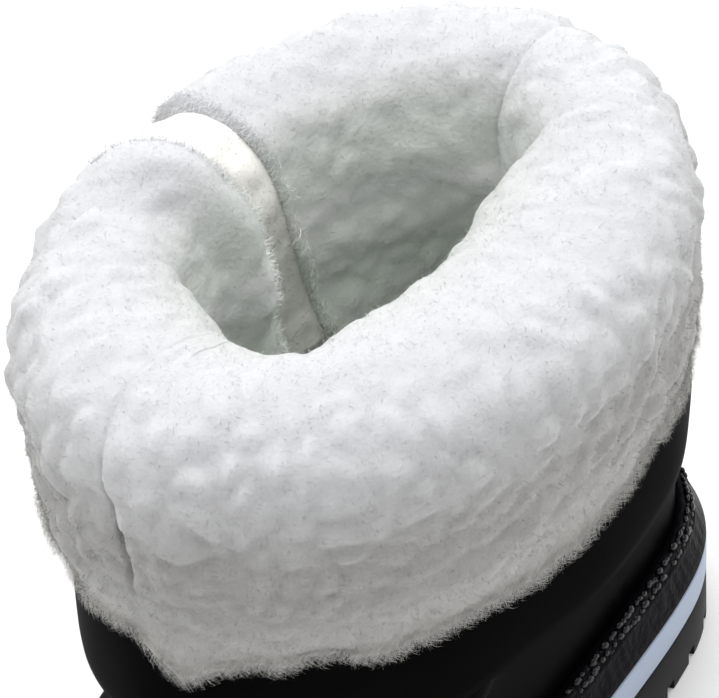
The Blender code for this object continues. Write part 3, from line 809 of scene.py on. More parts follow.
@dataclass(frozen=True)
class FootShape:
    """Outside of the upper, from the cup's floor up to the fold, as rings over the last."""

    inward: float = 0.0079
    floor_rise: float = 0.0031
    fit_gap: float = 0.0003
    counter: float = 0.072
    toe_box: float = 0.066
    instep: float = 0.116
    throat_dip: float = 0.0090
    throat_x: float = 0.118
    throat_reach: float = 0.050
    throat_low: float = 0.060
    throat_ramp: float = 0.020
    rim_ramp: float = 0.010

    def key_rings(self, count: int) -> np.ndarray:
        """The rings that the surface passes through, as rings by count by three.

        Args:
            count: number of points in each ring.

        Returns:
            The rings, from the lowest to the highest.
        """
        # Shares of the length at the ring's back and front, of the width, heights there, share of an oval
        table = (
            (0.003, 0.994, 1.000, 0.82 * self.counter, 0.84 * self.toe_box, 0.00),
            (0.006, 0.968, 0.965, 0.98 * self.counter, 1.00 * self.toe_box, 0.05),
            (0.009, 0.920, 0.915, 1.09 * self.counter, 1.10 * self.toe_box, 0.18),
            (0.014, 0.822, 0.835, 1.20 * self.counter, 1.21 * self.toe_box, 0.60),
            (0.022, 0.670, 0.850, 0.81 * self.instep, 0.80 * self.instep, 1.00),
            (0.034, 0.612, 0.885, 0.88 * self.instep, 0.89 * self.instep, 1.00),
            (0.050, 0.585, 0.925, 0.94 * self.instep, 0.98 * self.instep, 1.00),
        )
        foot = inset(SOLE.outline(count), self.inward)
        x = foot[:, 0]
        rear = x.min()
        length = x.max() - rear
        half = foot[:, 1].max()
        angles = math.pi - 2.0 * math.pi * np.arange(count) / count
        rings = [
            at_height(foot, SOLE.stripe_top(x) + self.floor_rise),
            at_height(foot, SOLE.sidewall_top(x) + self.fit_gap),
        ]
        for back, front, width, low, high, oval in table:
            start = rear + back * length
            end = rear + front * length
            shape = Oval((start + end) / 2.0, (end - start) / 2.0, width * half)
            sole_like = np.column_stack([mix(start, end, (x - rear) / length), foot[:, 1] * width])
            spot = mix(sole_like, COLLAR.point(shape, angles, np.zeros(count))[:, :2], oval)
            rings.append(at_height(spot, mix(low, high, (spot[:, 0] - start) / (end - start))))
        for share in (0.25, 0.5, 0.75, 1.0):
            z = np.full(count, mix(COLLAR.rim_height, COLLAR.upper_top, share))
            rings.append(COLLAR.point(COLLAR.shaft(z), angles, z))
        rings = np.array(rings)
        throat = bump(rings[..., 0] - self.throat_x, self.throat_reach)
        throat = throat * smooth((rings[..., 2] - self.throat_low) / self.throat_ramp)
        below_rim = smooth((COLLAR.rim_height + self.rim_ramp - rings[..., 2]) / self.rim_ramp)
        rings[..., 2] -= self.throat_dip * throat * below_rim
        return rings

    def rings(self, count: int, fine: int) -> np.ndarray:
        """The surface's rings: the key rings and evenly many between each two, on a smooth curve.

        Args:
            count: number of points in each ring.
            fine: steps from one key ring to the next.

        Returns:
            The rings, from the lowest to the highest.
        """
        keys = self.key_rings(count)
        last = len(keys) - 1
        made = []
        for span in range(last):
            before, start, end, after = (keys[min(max(span + step, 0), last)] for step in (-1, 0, 1, 2))
            if span == 1:
                before = start
            for share in np.arange(fine) / fine:
                if span == 0:
                    made.append(mix(start, end, share))
                else:
                    made.append(passing(before, start, end, after, share))
        return np.array(made + [keys[-1]])


FOOT = FootShape()


def grid_normals(points: np.ndarray) -> np.ndarray:
    """Unit normals of a grid of points whose columns join up.

    Args:
        points: rows by columns by three.

    Returns:
        Normals of the same shape, turned outwards for rows that run up the outside and over.
    """
    side = np.roll(points, -1, axis=1) - np.roll(points, 1, axis=1)
    return unit(np.cross(side, np.gradient(points, axis=0)))


# Pieces of the cuff


def softened(grid: np.ndarray, times: int) -> np.ndarray:
    """A grid of heights with its sharp creases evened out.

    Args:
        grid: heights, rows by columns, the columns closed into rings.
        times: how often neighbours are averaged.

    Returns:
        The softer grid.
    """
    for _ in range(times):
        grid = 0.5 * grid + 0.25 * (np.roll(grid, 1, axis=1) + np.roll(grid, -1, axis=1))
        padded = np.concatenate([grid[:1], grid, grid[-1:]])
        grid = 0.5 * grid + 0.25 * (padded[:-2] + padded[2:])
    return grid


CLOSEST_LOCKS = 0.72
LOCK_TRIES = 40000
LOCK_HEIGHTS = (0.35, 1.0)
LEAN_SHARE = 0.8
LEVEL_STEEPNESS = 2.0
DOME_STEEPNESS = 1.6
FIBRE_TINTS = (0.90, 1.14)
FIBRE_NARROWING = 0.4


@dataclass
class Roots:
    """Places that fibres grow from, with the surface's directions and tint there."""

    spots: np.ndarray
    normals: np.ndarray
    sides: np.ndarray
    tints: np.ndarray
    alongs: np.ndarray


@dataclass
class PlushField:
    """The plush's finished surface as a grid, from which fibres grow."""

    points: np.ndarray
    normals: np.ndarray
    tints: np.ndarray
    alongs: np.ndarray

    def roots(self, draw: np.random.Generator, count: int, weights: np.ndarray) -> Roots:
        """Random roots, spread by area and weight.

        Args:
            draw: the random source.
            count: number of roots.
            weights: weight of each grid cell, rows by columns.

        Returns:
            The roots.
        """
        after = np.roll(self.points, -1, axis=1)
        side = after[:-1] - self.points[:-1]
        up = self.points[1:] - self.points[:-1]
        area = np.linalg.norm(np.cross(side, up), axis=-1) * weights
        odds = np.cumsum(area.ravel())
        cells = np.searchsorted(odds, draw.random(count) * odds[-1])
        rows, columns = np.unravel_index(np.minimum(cells, area.size - 1), area.shape)
        f = draw.random((count, 1))
        g = draw.random((count, 1))
        beside = (columns + 1) % self.points.shape[1]

        def blend(values: np.ndarray) -> np.ndarray:
            """The grid's values at the roots."""
            low = mix(values[rows, columns], values[rows, beside], f)
            high = mix(values[rows + 1, columns], values[rows + 1, beside], f)
            return mix(low, high, g)

        tints = blend(self.tints) * draw.uniform(*FIBRE_TINTS, (count, 1))
        facing = unit(blend(self.normals))
        return Roots(blend(self.points), facing, unit(side[rows, columns]), tints, self.alongs[rows])


@dataclass
class Locks:
    """Curly locks of the plush: their middles, the way each leans, its turn and its height."""

    middles: np.ndarray
    leans: np.ndarray
    turns: np.ndarray
    heights: np.ndarray
    tree: kdtree.KDTree
    flatten: float

    @classmethod
    def spread(
        cls, points: np.ndarray, normals: np.ndarray, size: float, flatten: float, seed: int
    ) -> "Locks":
        """Spreads locks over a grid of points, about one size apart.

        Args:
            points: rows by columns by three.
            normals: the grid's normals.
            size: usual distance between locks.
            flatten: how much wider than tall the locks are.
            seed: seed of the random source.

        Returns:
            The locks.
        """
        draw = np.random.default_rng(seed)
        flat = points.reshape(-1, 3)
        spaced = flat * np.array([1.0, 1.0, flatten])
        order = draw.permutation(len(flat))
        cell = size * CLOSEST_LOCKS
        taken: dict[tuple[int, int, int], list[np.ndarray]] = {}
        kept = []
        for index in order[:: max(1, len(order) // LOCK_TRIES)]:
            spot = spaced[index]
            key = tuple(np.floor(spot / cell).astype(int))
            near = [
                other
                for dx in (-1, 0, 1)
                for dy in (-1, 0, 1)
                for dz in (-1, 0, 1)
                for other in taken.get((key[0] + dx, key[1] + dy, key[2] + dz), ())
            ]
            if all(np.dot(spot - other, spot - other) > cell * cell for other in near):
                taken.setdefault(key, []).append(spot)
                kept.append(index)
        middles = flat[kept]
        facing = normals.reshape(-1, 3)[kept]
        lean = draw.normal(size=middles.shape)
        lean = unit(lean - facing * np.sum(lean * facing, axis=1, keepdims=True))
        tree = kdtree.KDTree(len(middles))
        for index, spot in enumerate(spaced[kept]):
            tree.insert(spot, index)
        tree.balance()
        turns = draw.choice([-1.0, 1.0], len(middles))
        return cls(middles, lean, turns, draw.uniform(*LOCK_HEIGHTS, len(middles)), tree, flatten)

    def spaced(self, spots: np.ndarray) -> np.ndarray:
        """Places in the space in which the locks are as tall as wide."""
        return spots * np.array([1.0, 1.0, self.flatten])

    def nearest(self, spots: np.ndarray) -> np.ndarray:
        """The nearest lock of each place."""
        return np.array([self.tree.find(spot)[1] for spot in self.spaced(spots)])

    def domes(self, spots: np.ndarray) -> np.ndarray:
        """Height of the locks' domes at each place: 0 in the creases between locks, up to 1 on top."""
        rises = np.empty(len(spots))
        for index, spot in enumerate(self.spaced(spots)):
            (_, near, first), (_, other, second) = self.tree.find_n(spot, 2)
            edge = (second - first) / (second + first + 1e-9)
            between = 0.5 * (self.heights[near] + self.heights[other])
            level = mix(between, self.heights[near], min(edge * LEVEL_STEEPNESS, 1.0))
            share = min(edge * DOME_STEEPNESS, 1.0)
            rises[index] = level * share * share * (3.0 - 2.0 * share)
        return rises

    def curls(self, roots: Roots) -> tuple[np.ndarray, np.ndarray]:
        """Ways along the surface in which fibres curl.

        Args:
            roots: the fibres' roots.

        Returns:
            For each root, the direction round its lock's middle and the one to it, with the lock's lean.
        """
        near = self.nearest(roots.spots)
        pull = self.middles[near] - roots.spots
        pull = unit(pull - roots.normals * np.sum(pull * roots.normals, axis=1, keepdims=True))
        swirl = np.cross(roots.normals, pull) * self.turns[near][:, None]
        return swirl, unit(pull + LEAN_SHARE * self.leans[near])


def ribbons(
    name: str,
    roots: Roots,
    runs: tuple[np.ndarray, ...],
    length: np.ndarray,
    width: np.ndarray,
    sunk: float,
    shaded_as_plush: bool = True,
) -> bpy.types.Object:
    """Tapered ribbons that bend at each step.

    Args:
        name: the piece's name.
        roots: the fibres' roots.
        runs: direction of each step, all of equal length.
        length: length of each fibre.
        width: width of each fibre at its root.
        sunk: how deep the roots lie below the surface.
        shaded_as_plush: whether the fibres take the surface's own direction for their shading.

    Returns:
        The new piece, with its tints.
    """
    steps = len(runs)
    corner_count = 2 * steps + 1
    side = unit(np.cross(runs[0], roots.normals) + 1e-4)
    here = roots.spots - roots.normals * sunk
    rows = []
    for step, run in enumerate(runs):
        half = side * width * 0.5 * (1.0 - FIBRE_NARROWING * step / steps)
        rows += [here - half, here + half]
        here = here + run * length / steps
        side = unit(side - run * np.sum(side * run, axis=1, keepdims=True) + 1e-6)
    rows.append(here)
    corners = np.stack(rows, axis=1).reshape(-1, 3)
    base = np.arange(len(length))[:, None] * corner_count
    quads = [base + np.array([[low, low + 1, low + 3, low + 2]]) for low in range(0, 2 * steps - 2, 2)]
    triangles = base + np.arange(corner_count - 3, corner_count)
    item = bare_mesh(name, corners, np.concatenate(quads), triangles)
    add_tint(item, np.repeat(roots.tints, corner_count, axis=0))
    only(item)
    bpy.ops.object.shade_smooth()
    if shaded_as_plush:
        item.data.normals_split_custom_set_from_vertices(np.repeat(roots.normals, corner_count, axis=0))
    return item


# Tables by place: the hem's by degrees from the front, the others by row of the plush's face

HEM_SHIFTS: Table = (
    (-180.0, 0.0020),
    (-120.0, 0.0030),
    (-70.0, 0.0060),
    (-40.0, 0.0088),
    (-14.0, 0.0080),
    (3.0, 0.0078),
    (8.0, 0.0020),
    (12.4, -0.0044),
    (19.3, 0.0012),
    (33.0, 0.0040),
    (64.0, 0.0034),
    (75.0, 0.0022),
    (86.0, 0.0038),
    (98.9, 0.0090),
    (116.0, 0.0042),
    (140.0, 0.0030),
    (180.0, 0.0020),
)
SEAM_DEGREES: Table = ((0.0, 7.0), (0.3, 5.0), (0.9, 4.0), (1.3, -2.0), (1.6, -5.0))
PUFF_SHARES: Table = (
    (0.0, 0.25),
    (0.2, 0.32),
    (0.5, 0.66),
    (0.8, 0.78),
    (1.15, 0.84),
    (1.5, 0.42),
    (1.75, 0.3),
    (2.2, 0.36),
)
FIBRE_DENSITY: Table = (
    (0.0, 1.6),
    (0.15, 1.1),
    (0.8, 0.9),
    (1.2, 0.6),
    (1.7, 0.7),
    (2.1, 0.7),
    (2.5, 0.4),
)
FIBRE_RISE: Table = (
    (0.0, 1.0),
    (0.15, 0.8),
    (0.3, 0.5),
    (0.9, 0.45),
    (1.25, 0.35),
    (1.9, 0.35),
    (2.4, 0.5),
)

# Shares of each step of a fibre: off the surface, round its lock, to the lock's middle, at random
FIBRE_STEPS = ((0.60, 0.40, 0.25, 0.50), (0.05, 0.40, 0.30, 0.75))

# Shares of each step of the plush at the facings' edges: off the surface, over the edge, at random
BANK_STEPS = ((0.7, 0.5, 0.40), (0.3, 0.6, 0.50), (-0.1, 0.5, 0.60))

# Shares of each step of the facings' pile: off the surface, at random
PILE_STEPS = ((0.5, 0.5), (0.1, 0.6))


@dataclass
class CuffPlush:
    """The cuff's deep plush: a roll with soft puffs, seams, the zip's channel and a ridge before it."""

    columns: int = 430
    wall_rows: int = 44
    crest_rows: int = 52
    inside_rows: int = 50
    big_lock: float = 0.0098
    small_lock: float = 0.0052
    flatten: float = 1.15
    big_height: float = 0.0028
    small_height: float = 0.0013
    puff: float = 0.0013
    puff_rate: float = 170.0
    warp: float = 0.0044
    warp_rate: float = 260.0
    wave: float = 0.0016
    wave_rate: float = 130.0
    softening: int = 2
    seam_depth: float = 0.0018
    seam_width: float = 0.0011
    seam_columns: int = 30
    seam_reach: tuple[float, float] = (-6.0, 9.0)
    seam_column_shift: float = 0.0007
    swelling: float = 0.0014
    back_dip: float = 0.0024
    hem_reach: float = 0.2
    sag_depth: float = 0.0032
    sag_level: float = 0.3
    fibres: int = 50000
    fibre_sets: int = 3
    fibre_length: float = 0.0025
    fibre_width: float = 0.000065
    fibre_sunk: float = 0.0003
    strays: int = 20000
    stray_length: float = 0.0055
    stray_width: float = 0.00006
    stray_sunk: float = 0.0004
    # How much lighter the hairs by the hem are painted: painted light
    stray_painted_light: float = 1.35
    bank_fibres: int = 3000
    bank_length: float = 0.0038
    bank_width: float = 0.00009
    bank_reach: float = 0.0016
    bank_rows: tuple[float, float] = (0.7, 2.9)
    # How much lighter the banks' hairs are painted: painted light
    bank_painted_light: float = 1.25
    rear_facing_shown: float = 0.0006
    # Colours by row that paint in the plush's light and shade: the crest's tone, painted shade on the wall,
    # hem, shoulder and deep inside, and painted light on the inside
    crest_painted_tone: Colour = (0.60, 0.605, 0.622)
    wall_painted_shade: Colour = (0.355, 0.352, 0.344)
    hem_painted_shade: Colour = (0.48, 0.474, 0.455)
    shoulder_painted_shade: Colour = (0.57, 0.595, 0.57)
    inside_painted_light: Colour = (0.955, 0.985, 0.945)
    deep_painted_shade: Colour = (0.82, 0.87, 0.815)

    def alongs(self) -> np.ndarray:
        """Rows of the outer face, from the hem to the lower end inside."""
        wall = np.linspace(0.0, 1.0, self.wall_rows, endpoint=False)
        crest = np.linspace(1.0, 2.0, self.crest_rows, endpoint=False)
        inside = np.linspace(2.0, 3.0, self.inside_rows)
        return np.concatenate([wall, crest, inside])

    def hem_shift(self, angle: np.ndarray) -> np.ndarray:
        """How much higher than its usual height the hem hangs at an angle."""
        return looked_up(np.degrees(wrapped(angle)), HEM_SHIFTS)

    def channel_share(self, angle: np.ndarray, along: np.ndarray) -> np.ndarray:
        """1 in the zip's channel, falling to 0 on its ramps."""
        offset = COLLAR.split_distance(angle, along)
        rear, front = self.channel_edges()
        past = np.maximum(np.maximum(rear - offset, offset - front), 0.0)
        return 1.0 - smooth(past / COLLAR.channel_ramp)

    def channel_edges(self) -> tuple[float, float]:
        """Both sides of the channel that shows, as distances from the line between the facings."""
        _, front = COLLAR.channel_edges()
        return COLLAR.channel_ramp - self.rear_facing_shown - COLLAR.facing_split / 2.0, front

    def form(self, angle: np.ndarray, along: np.ndarray) -> np.ndarray:
        """Height of the main forms over the smooth face: seams, channel and ridge."""
        off_front = self.seam_distance(angle, along)
        off_back = wrapped(angle - math.pi) * COLLAR.mean_radius
        fade = smooth((3.0 - along) / 0.3)
        front_shown = mix(1.0, 0.10, smooth((along - 0.95) / 0.4)) * smooth((along - 0.25) / 0.4)
        front_line = bump(off_front, self.seam_width) * front_shown
        back_line = bump(off_back, 1.6 * self.seam_width) * smooth((along - 0.9) / 0.6) * 0.4
        lines = self.seam_depth * np.maximum(front_line, back_line)
        outer_side = 8.0 * self.seam_width
        inner_side = 6.0 * self.seam_width
        beside = bump(off_front - outer_side, outer_side) * smooth(1.7 - along)
        beside += 0.6 * bump(off_front + inner_side, inner_side) * smooth(1.3 - along)
        swelling = self.swelling * beside * smooth((along - 0.2) / 0.5)
        dip = self.back_dip * (bump(off_back, 9.0 * self.seam_width) * bump(along - 1.9, 0.7))
        rise = (swelling - lines - dip) * fade
        offset = COLLAR.split_distance(angle, along)
        _, front = COLLAR.channel_edges()
        ridge = bump(offset - front - 0.7 * COLLAR.ridge_width, COLLAR.ridge_width)
        ridge = ridge * smooth((along - 1.1) / 0.5)
        inside = self.channel_share(angle, along)
        return (rise + COLLAR.ridge_height * ridge * fade) * (1.0 - inside) - COLLAR.channel_depth * inside

    def seam_distance(self, angle: np.ndarray, along: np.ndarray) -> np.ndarray:
        """Distance along the ring from the front seam, which drifts inwards over the crest."""
        return wrapped(angle - np.radians(looked_up(along, SEAM_DEGREES))) * COLLAR.mean_radius

    def angles(self) -> np.ndarray:
        """Angles of the grid's columns, closer together at the front seam."""
        even = np.linspace(-math.pi, math.pi, self.columns, endpoint=False)
        close = np.radians(np.linspace(*self.seam_reach, self.seam_columns))
        return np.sort(np.concatenate([even, close + self.seam_column_shift]))

    def tint(self, along: np.ndarray) -> np.ndarray:
        """Colour of the plush by row, which paints in its light and shade: lightest outside on the crest,
        painted shade down the wall and a little less at the hem, painted shade over the shoulder inside the
        crest, painted lighter and faintly green inside, and painted shade deeper down inside.
        """
        stops = (
            (0.0, self.hem_painted_shade),
            (0.45, self.wall_painted_shade),
            (0.80, self.wall_painted_shade),
            (1.32, self.crest_painted_tone),
            (1.62, self.crest_painted_tone),
            (1.85, self.shoulder_painted_shade),
            (2.15, self.inside_painted_light),
            (2.55, self.deep_painted_shade),
        )
        channels = (tuple((place, colour[axis]) for place, colour in stops) for axis in range(3))
        return np.stack([looked_up(along, channel) for channel in channels], axis=-1)

    def slot_rings(self, angles: np.ndarray) -> np.ndarray:
        """The plush's hollow side, from the inner lower edge over the shaft's top and down the band."""
        rings = []
        roof = COLLAR.upper_top + 2.0 * COLLAR.curved_gap
        for share in (0.0, 0.35, 0.7, 1.0):
            z = np.full_like(angles, mix(COLLAR.lining_end, roof, share))
            shaft = COLLAR.shaft(np.minimum(z, COLLAR.upper_top))
            inside = shaft.grown(-COLLAR.upper_wall - COLLAR.lining_gap)
            rings.append(COLLAR.point(inside, angles, z))
        for share in (0.0, 0.33, 0.67, 1.0):
            z = mix(roof, COLLAR.hem_height + np.maximum(self.hem_shift(angles), 0.0), share)
            oval = COLLAR.band(np.minimum(z, COLLAR.upper_top)).grown(COLLAR.curved_gap)
            rings.append(COLLAR.point(oval, angles, z))
        return np.array(rings)

    def swell(self, spots: np.ndarray, seed: int, rate: float) -> np.ndarray:
        """Slow waves over the surface, three shares between -1 and 1 for each place."""
        draw = np.random.default_rng(seed)
        waves = draw.normal(size=(6, 3)) * rate
        phases = draw.uniform(0.0, 2.0 * math.pi, (6, 3))
        shares = [np.mean(np.sin(spots @ waves.T + phase), axis=1) for phase in phases.T]
        return np.stack(shares, axis=1)

    def build(self, plush: bpy.types.Material, fibre: bpy.types.Material) -> None:
        """Makes the plush's surface and its fibres.

        Args:
            plush: material of the surface.
            fibre: material of the fibres.
        """
        alongs = self.alongs()
        angles = self.angles()
        angle, along = np.meshgrid(angles, alongs)
        face = COLLAR.face(angle, along)
        face[..., 2] += self.hem_shift(angle) * smooth(1.0 - along / 0.5)
        normals = grid_normals(face)
        big = Locks.spread(face, normals, self.big_lock, self.flatten, 21)
        small = Locks.spread(face, normals, self.small_lock, self.flatten, 22)
        flat = face.reshape(-1, 3)
        spots = flat + self.swell(flat, 5, self.warp_rate) * self.warp
        waves = self.swell(flat, 6, self.wave_rate)[:, 0].reshape(angle.shape) * self.wave
        inside = self.channel_share(angle, along)
        puffs = fractal(spots * self.puff_rate, 0.7, 2.1, 4)
        high = big.domes(spots).reshape(angle.shape) * self.big_height
        high += small.domes(spots).reshape(angle.shape) * self.small_height
        high = self.evened(high + puffs.reshape(angle.shape) * self.puff, angles)
        high *= looked_up(along, PUFF_SHARES)
        lift = self.form(angle, along) + (high + waves) * (1.0 - inside) * smooth((3.0 - along) / 0.2)
        points = face + normals * lift[..., None]
        points[..., 2] -= self.sag(along, big, spots.reshape(face.shape))
        rings = np.concatenate([points, self.slot_rings(angles)])
        surface = skin("cuff_plush", rings, rolled=True)
        # These row colours carry the plush's painted light and shade, also onto the hollow side
        tints = self.tint(along)
        slot_tints = np.repeat(tints[-1:], len(rings) - len(alongs), axis=0)
        add_tint(surface, np.concatenate([tints, slot_tints]))
        place(surface, plush, "cuff_fleece", "cuff_fleece")
        field = PlushField(points, grid_normals(points), tints, alongs)
        seam = bump(self.seam_distance(angle, along), 0.8 * self.seam_width) * smooth(1.4 - along)
        weights = ((1.0 - inside) * (1.0 - seam))[:-1]
        self.grow(field, weights, (small, big), fibre)
        self.grow_strays(field, weights, fibre)
        self.grow_bank(field, angle, along, fibre)

    def evened(self, high: np.ndarray, angles: np.ndarray) -> np.ndarray:
        """The heights, softened on evenly spaced columns."""
        even = np.linspace(-math.pi, math.pi, self.columns, endpoint=False)
        spread = np.array([np.interp(even, angles, row, period=2.0 * math.pi) for row in high])
        spread = softened(spread, self.softening)
        return np.array([np.interp(angles, even, row, period=2.0 * math.pi) for row in spread])

    def sag(self, along: np.ndarray, locks: Locks, spots: np.ndarray) -> np.ndarray:
        """How far the locks along the hem hang below it, which makes its edge ragged."""
        low = along[:, 0] < self.hem_reach
        near = locks.nearest(spots[low].reshape(-1, 3)).reshape(spots[low].shape[:2])
        drop = np.zeros_like(along)
        fade = 1.0 - smooth(along[low] / self.hem_reach)
        drop[low] = self.sag_depth * (locks.heights[near] - self.sag_level) * fade
        return drop

    def grow(
        self,
        field: PlushField,
        weights: np.ndarray,
        locks: tuple[Locks, Locks],
        material: bpy.types.Material,
    ) -> None:
        """Grows the plush's short curly fibres in pieces that each stay light.

        Args:
            field: the finished surface.
            weights: where fibres grow, rows by columns.
            locks: the small and the big locks.
            material: the fibres' material.
        """
        density = looked_up(field.alongs[:-1], FIBRE_DENSITY)[:, None]
        count = self.fibres
        for number in range(self.fibre_sets):
            draw = np.random.default_rng(100 + number)
            roots = field.roots(draw, count, weights * density)
            swirl, pull = locks[number % 2].curls(roots)
            jitter = draw.normal(size=(len(FIBRE_STEPS), count, 3))
            down = np.zeros((count, 3))
            down[:, 2] = -0.20 * (roots.alongs < 1.0)
            rise = looked_up(roots.alongs, FIBRE_RISE)[:, None]
            up = roots.normals * rise
            combed = mix(0.3, 1.0, smooth(roots.alongs / 0.25))[:, None]
            raised = np.sum(jitter * roots.normals, axis=-1)[..., None]
            jitter = jitter - (1.0 - rise) * roots.normals * raised
            runs = tuple(
                unit(up * off + (swirl * turn + pull * to) * combed + shake * loose + down)
                for (off, turn, to, loose), shake in zip(FIBRE_STEPS, jitter)
            )
            length = self.fibre_length * draw.uniform(0.45, 1.15, (count, 1))
            width = self.fibre_width * draw.uniform(0.7, 1.2, (count, 1))
            fibres = ribbons(f"plush_fibres_{number + 1}", roots, runs, length, width, self.fibre_sunk)
            place(fibres, material, "cuff_fleece")

    def grow_strays(self, field: PlushField, weights: np.ndarray, material: bpy.types.Material) -> None:
        """Grows the loose curly hairs, most of them along the hem.

        Args:
            field: the finished surface.
            weights: where hairs grow, rows by columns.
            material: the hairs' material.
        """
        draw = np.random.default_rng(200)
        rows = field.alongs[:-1]
        favour = 0.003 + 7.0 * bump(rows, 0.08)
        favour = np.where(rows > 2.3, 0.05, favour)[:, None]
        roots = field.roots(draw, self.strays, weights * favour)
        side = unit(np.cross(roots.normals, draw.normal(size=roots.spots.shape)))
        other = np.cross(roots.normals, side)
        turn = draw.uniform(0.0, 2.0 * math.pi, (self.strays, 1))
        curl = draw.uniform(1.2, 2.6, (self.strays, 1))
        down = np.zeros_like(roots.spots)
        down[:, 2] = -0.60 * (roots.alongs < 0.12)
        runs = []
        for step in range(4):
            around = side * np.cos(turn + curl * step)
            across = other * np.sin(turn + curl * step)
            runs.append(unit(roots.normals * 0.45 + around + across + down))
        length = self.stray_length * draw.uniform(0.4, 1.15, (self.strays, 1))
        width = np.full((self.strays, 1), self.stray_width)
        # Hairs near the hem are painted lighter than the plush under them, painted light that lifts the
        # hem's painted shade
        roots.tints *= mix(self.stray_painted_light, 1.0, smooth(roots.alongs / 0.3))[:, None]
        hairs = ribbons(
            "plush_stray_hairs", roots, tuple(runs), length, width, self.stray_sunk, shaded_as_plush=False
        )
        place(hairs, material, "cuff_fleece")

    def grow_bank(
        self, field: PlushField, angle: np.ndarray, along: np.ndarray, material: bpy.types.Material
    ) -> None:
        """Grows the ragged plush that leans over both edges of the zip's facings.

        Args:
            field: the finished surface.
            angle: angles of the grid.
            along: rows of the grid.
            material: the fibres' material.
        """
        draw = np.random.default_rng(400)
        offset = COLLAR.split_distance(angle, along)[:-1]
        rear, front = self.channel_edges()
        first, last = self.bank_rows
        shown = (along[:-1] > first) * (along[:-1] < last)
        banks = {"rear": (rear - COLLAR.channel_ramp, 1.0), "front": (front + COLLAR.channel_ramp, -0.6)}
        for side, (middle, way) in banks.items():
            weights = (np.abs(offset - middle) < self.bank_reach) * shown
            roots = field.roots(draw, self.bank_fibres, weights.astype(float))
            jitter = draw.normal(size=(len(BANK_STEPS), self.bank_fibres, 3))
            ahead = roots.sides * way
            runs = tuple(
                unit(roots.normals * off + ahead * over + shake * loose)
                for (off, over, loose), shake in zip(BANK_STEPS, jitter)
            )
            length = self.bank_length * draw.uniform(0.4, 1.1, (self.bank_fibres, 1))
            width = np.full((self.bank_fibres, 1), self.bank_width)
            # The banks' hairs are painted lighter than the plush beneath them, painted light against the
            # shade in the zip's channel
            roots.tints *= self.bank_painted_light
            bank = ribbons(
                f"plush_bank_{side}", roots, runs, length, width, self.fibre_sunk, shaded_as_plush=False
            )
            place(bank, material, "cuff_fleece")


@dataclass
class CuffBand:
    """The smooth black band below the plush."""

    columns: int = 240
    rows: int = 16
    first_row: float = 0.004
    edge_round: float = 0.0012
    front_dip: float = 0.0085
    front_push: float = 0.0001
    dip_turn: float = math.radians(15.0)
    dip_spread: float = 0.1
    fade: float = 0.02
    waves: tuple[tuple[float, float, float], ...] = ((0.00035, 7.0, 1.3), (0.00025, 13.0, 0.4))

    def build(self, material: bpy.types.Material) -> None:
        """Makes the band as a thin closed roll with a rounded lower edge.

        Args:
            material: the band's material.
        """
        angles = np.linspace(0.0, 2.0 * math.pi, self.columns, endpoint=False)
        top = COLLAR.upper_top - COLLAR.curved_gap
        wall = COLLAR.band_wall
        rim = COLLAR.rim_height
        edge = [rim + 0.35 * self.edge_round, rim + self.edge_round]
        heights = np.concatenate([edge, np.linspace(rim + self.first_row, top, self.rows)])
        ins = [0.25 * wall, 0.04 * wall] + [0.0] * self.rows
        rings = [self.ring(angles, z, by) for z, by in zip(heights, ins)]
        rings += [self.ring(angles, z, wall) for z in heights[::-1]]
        rings.append(self.ring(angles, rim, 0.62 * wall))
        band = skin("cuff_band_cloth", np.array(rings), rolled=True)
        place(band, material, "cuff_band", "cuff_band")

    def ring(self, angles: np.ndarray, z: float, by: float) -> np.ndarray:
        """One ring of the band at a height, moved inwards, with the cloth's slight waves."""
        wave = sum(depth * np.sin(angles * rate + phase) for depth, rate, phase in self.waves)
        share = smooth((COLLAR.hem_height - z) / self.fade)
        front = smooth(np.cos(angles + self.dip_turn) + self.dip_spread)
        dip = self.front_dip * front * share
        push = self.front_push * front * share
        oval = COLLAR.band(np.full_like(angles, z))
        return COLLAR.point(oval.grown(wave * share - by + push), angles, z - dip)


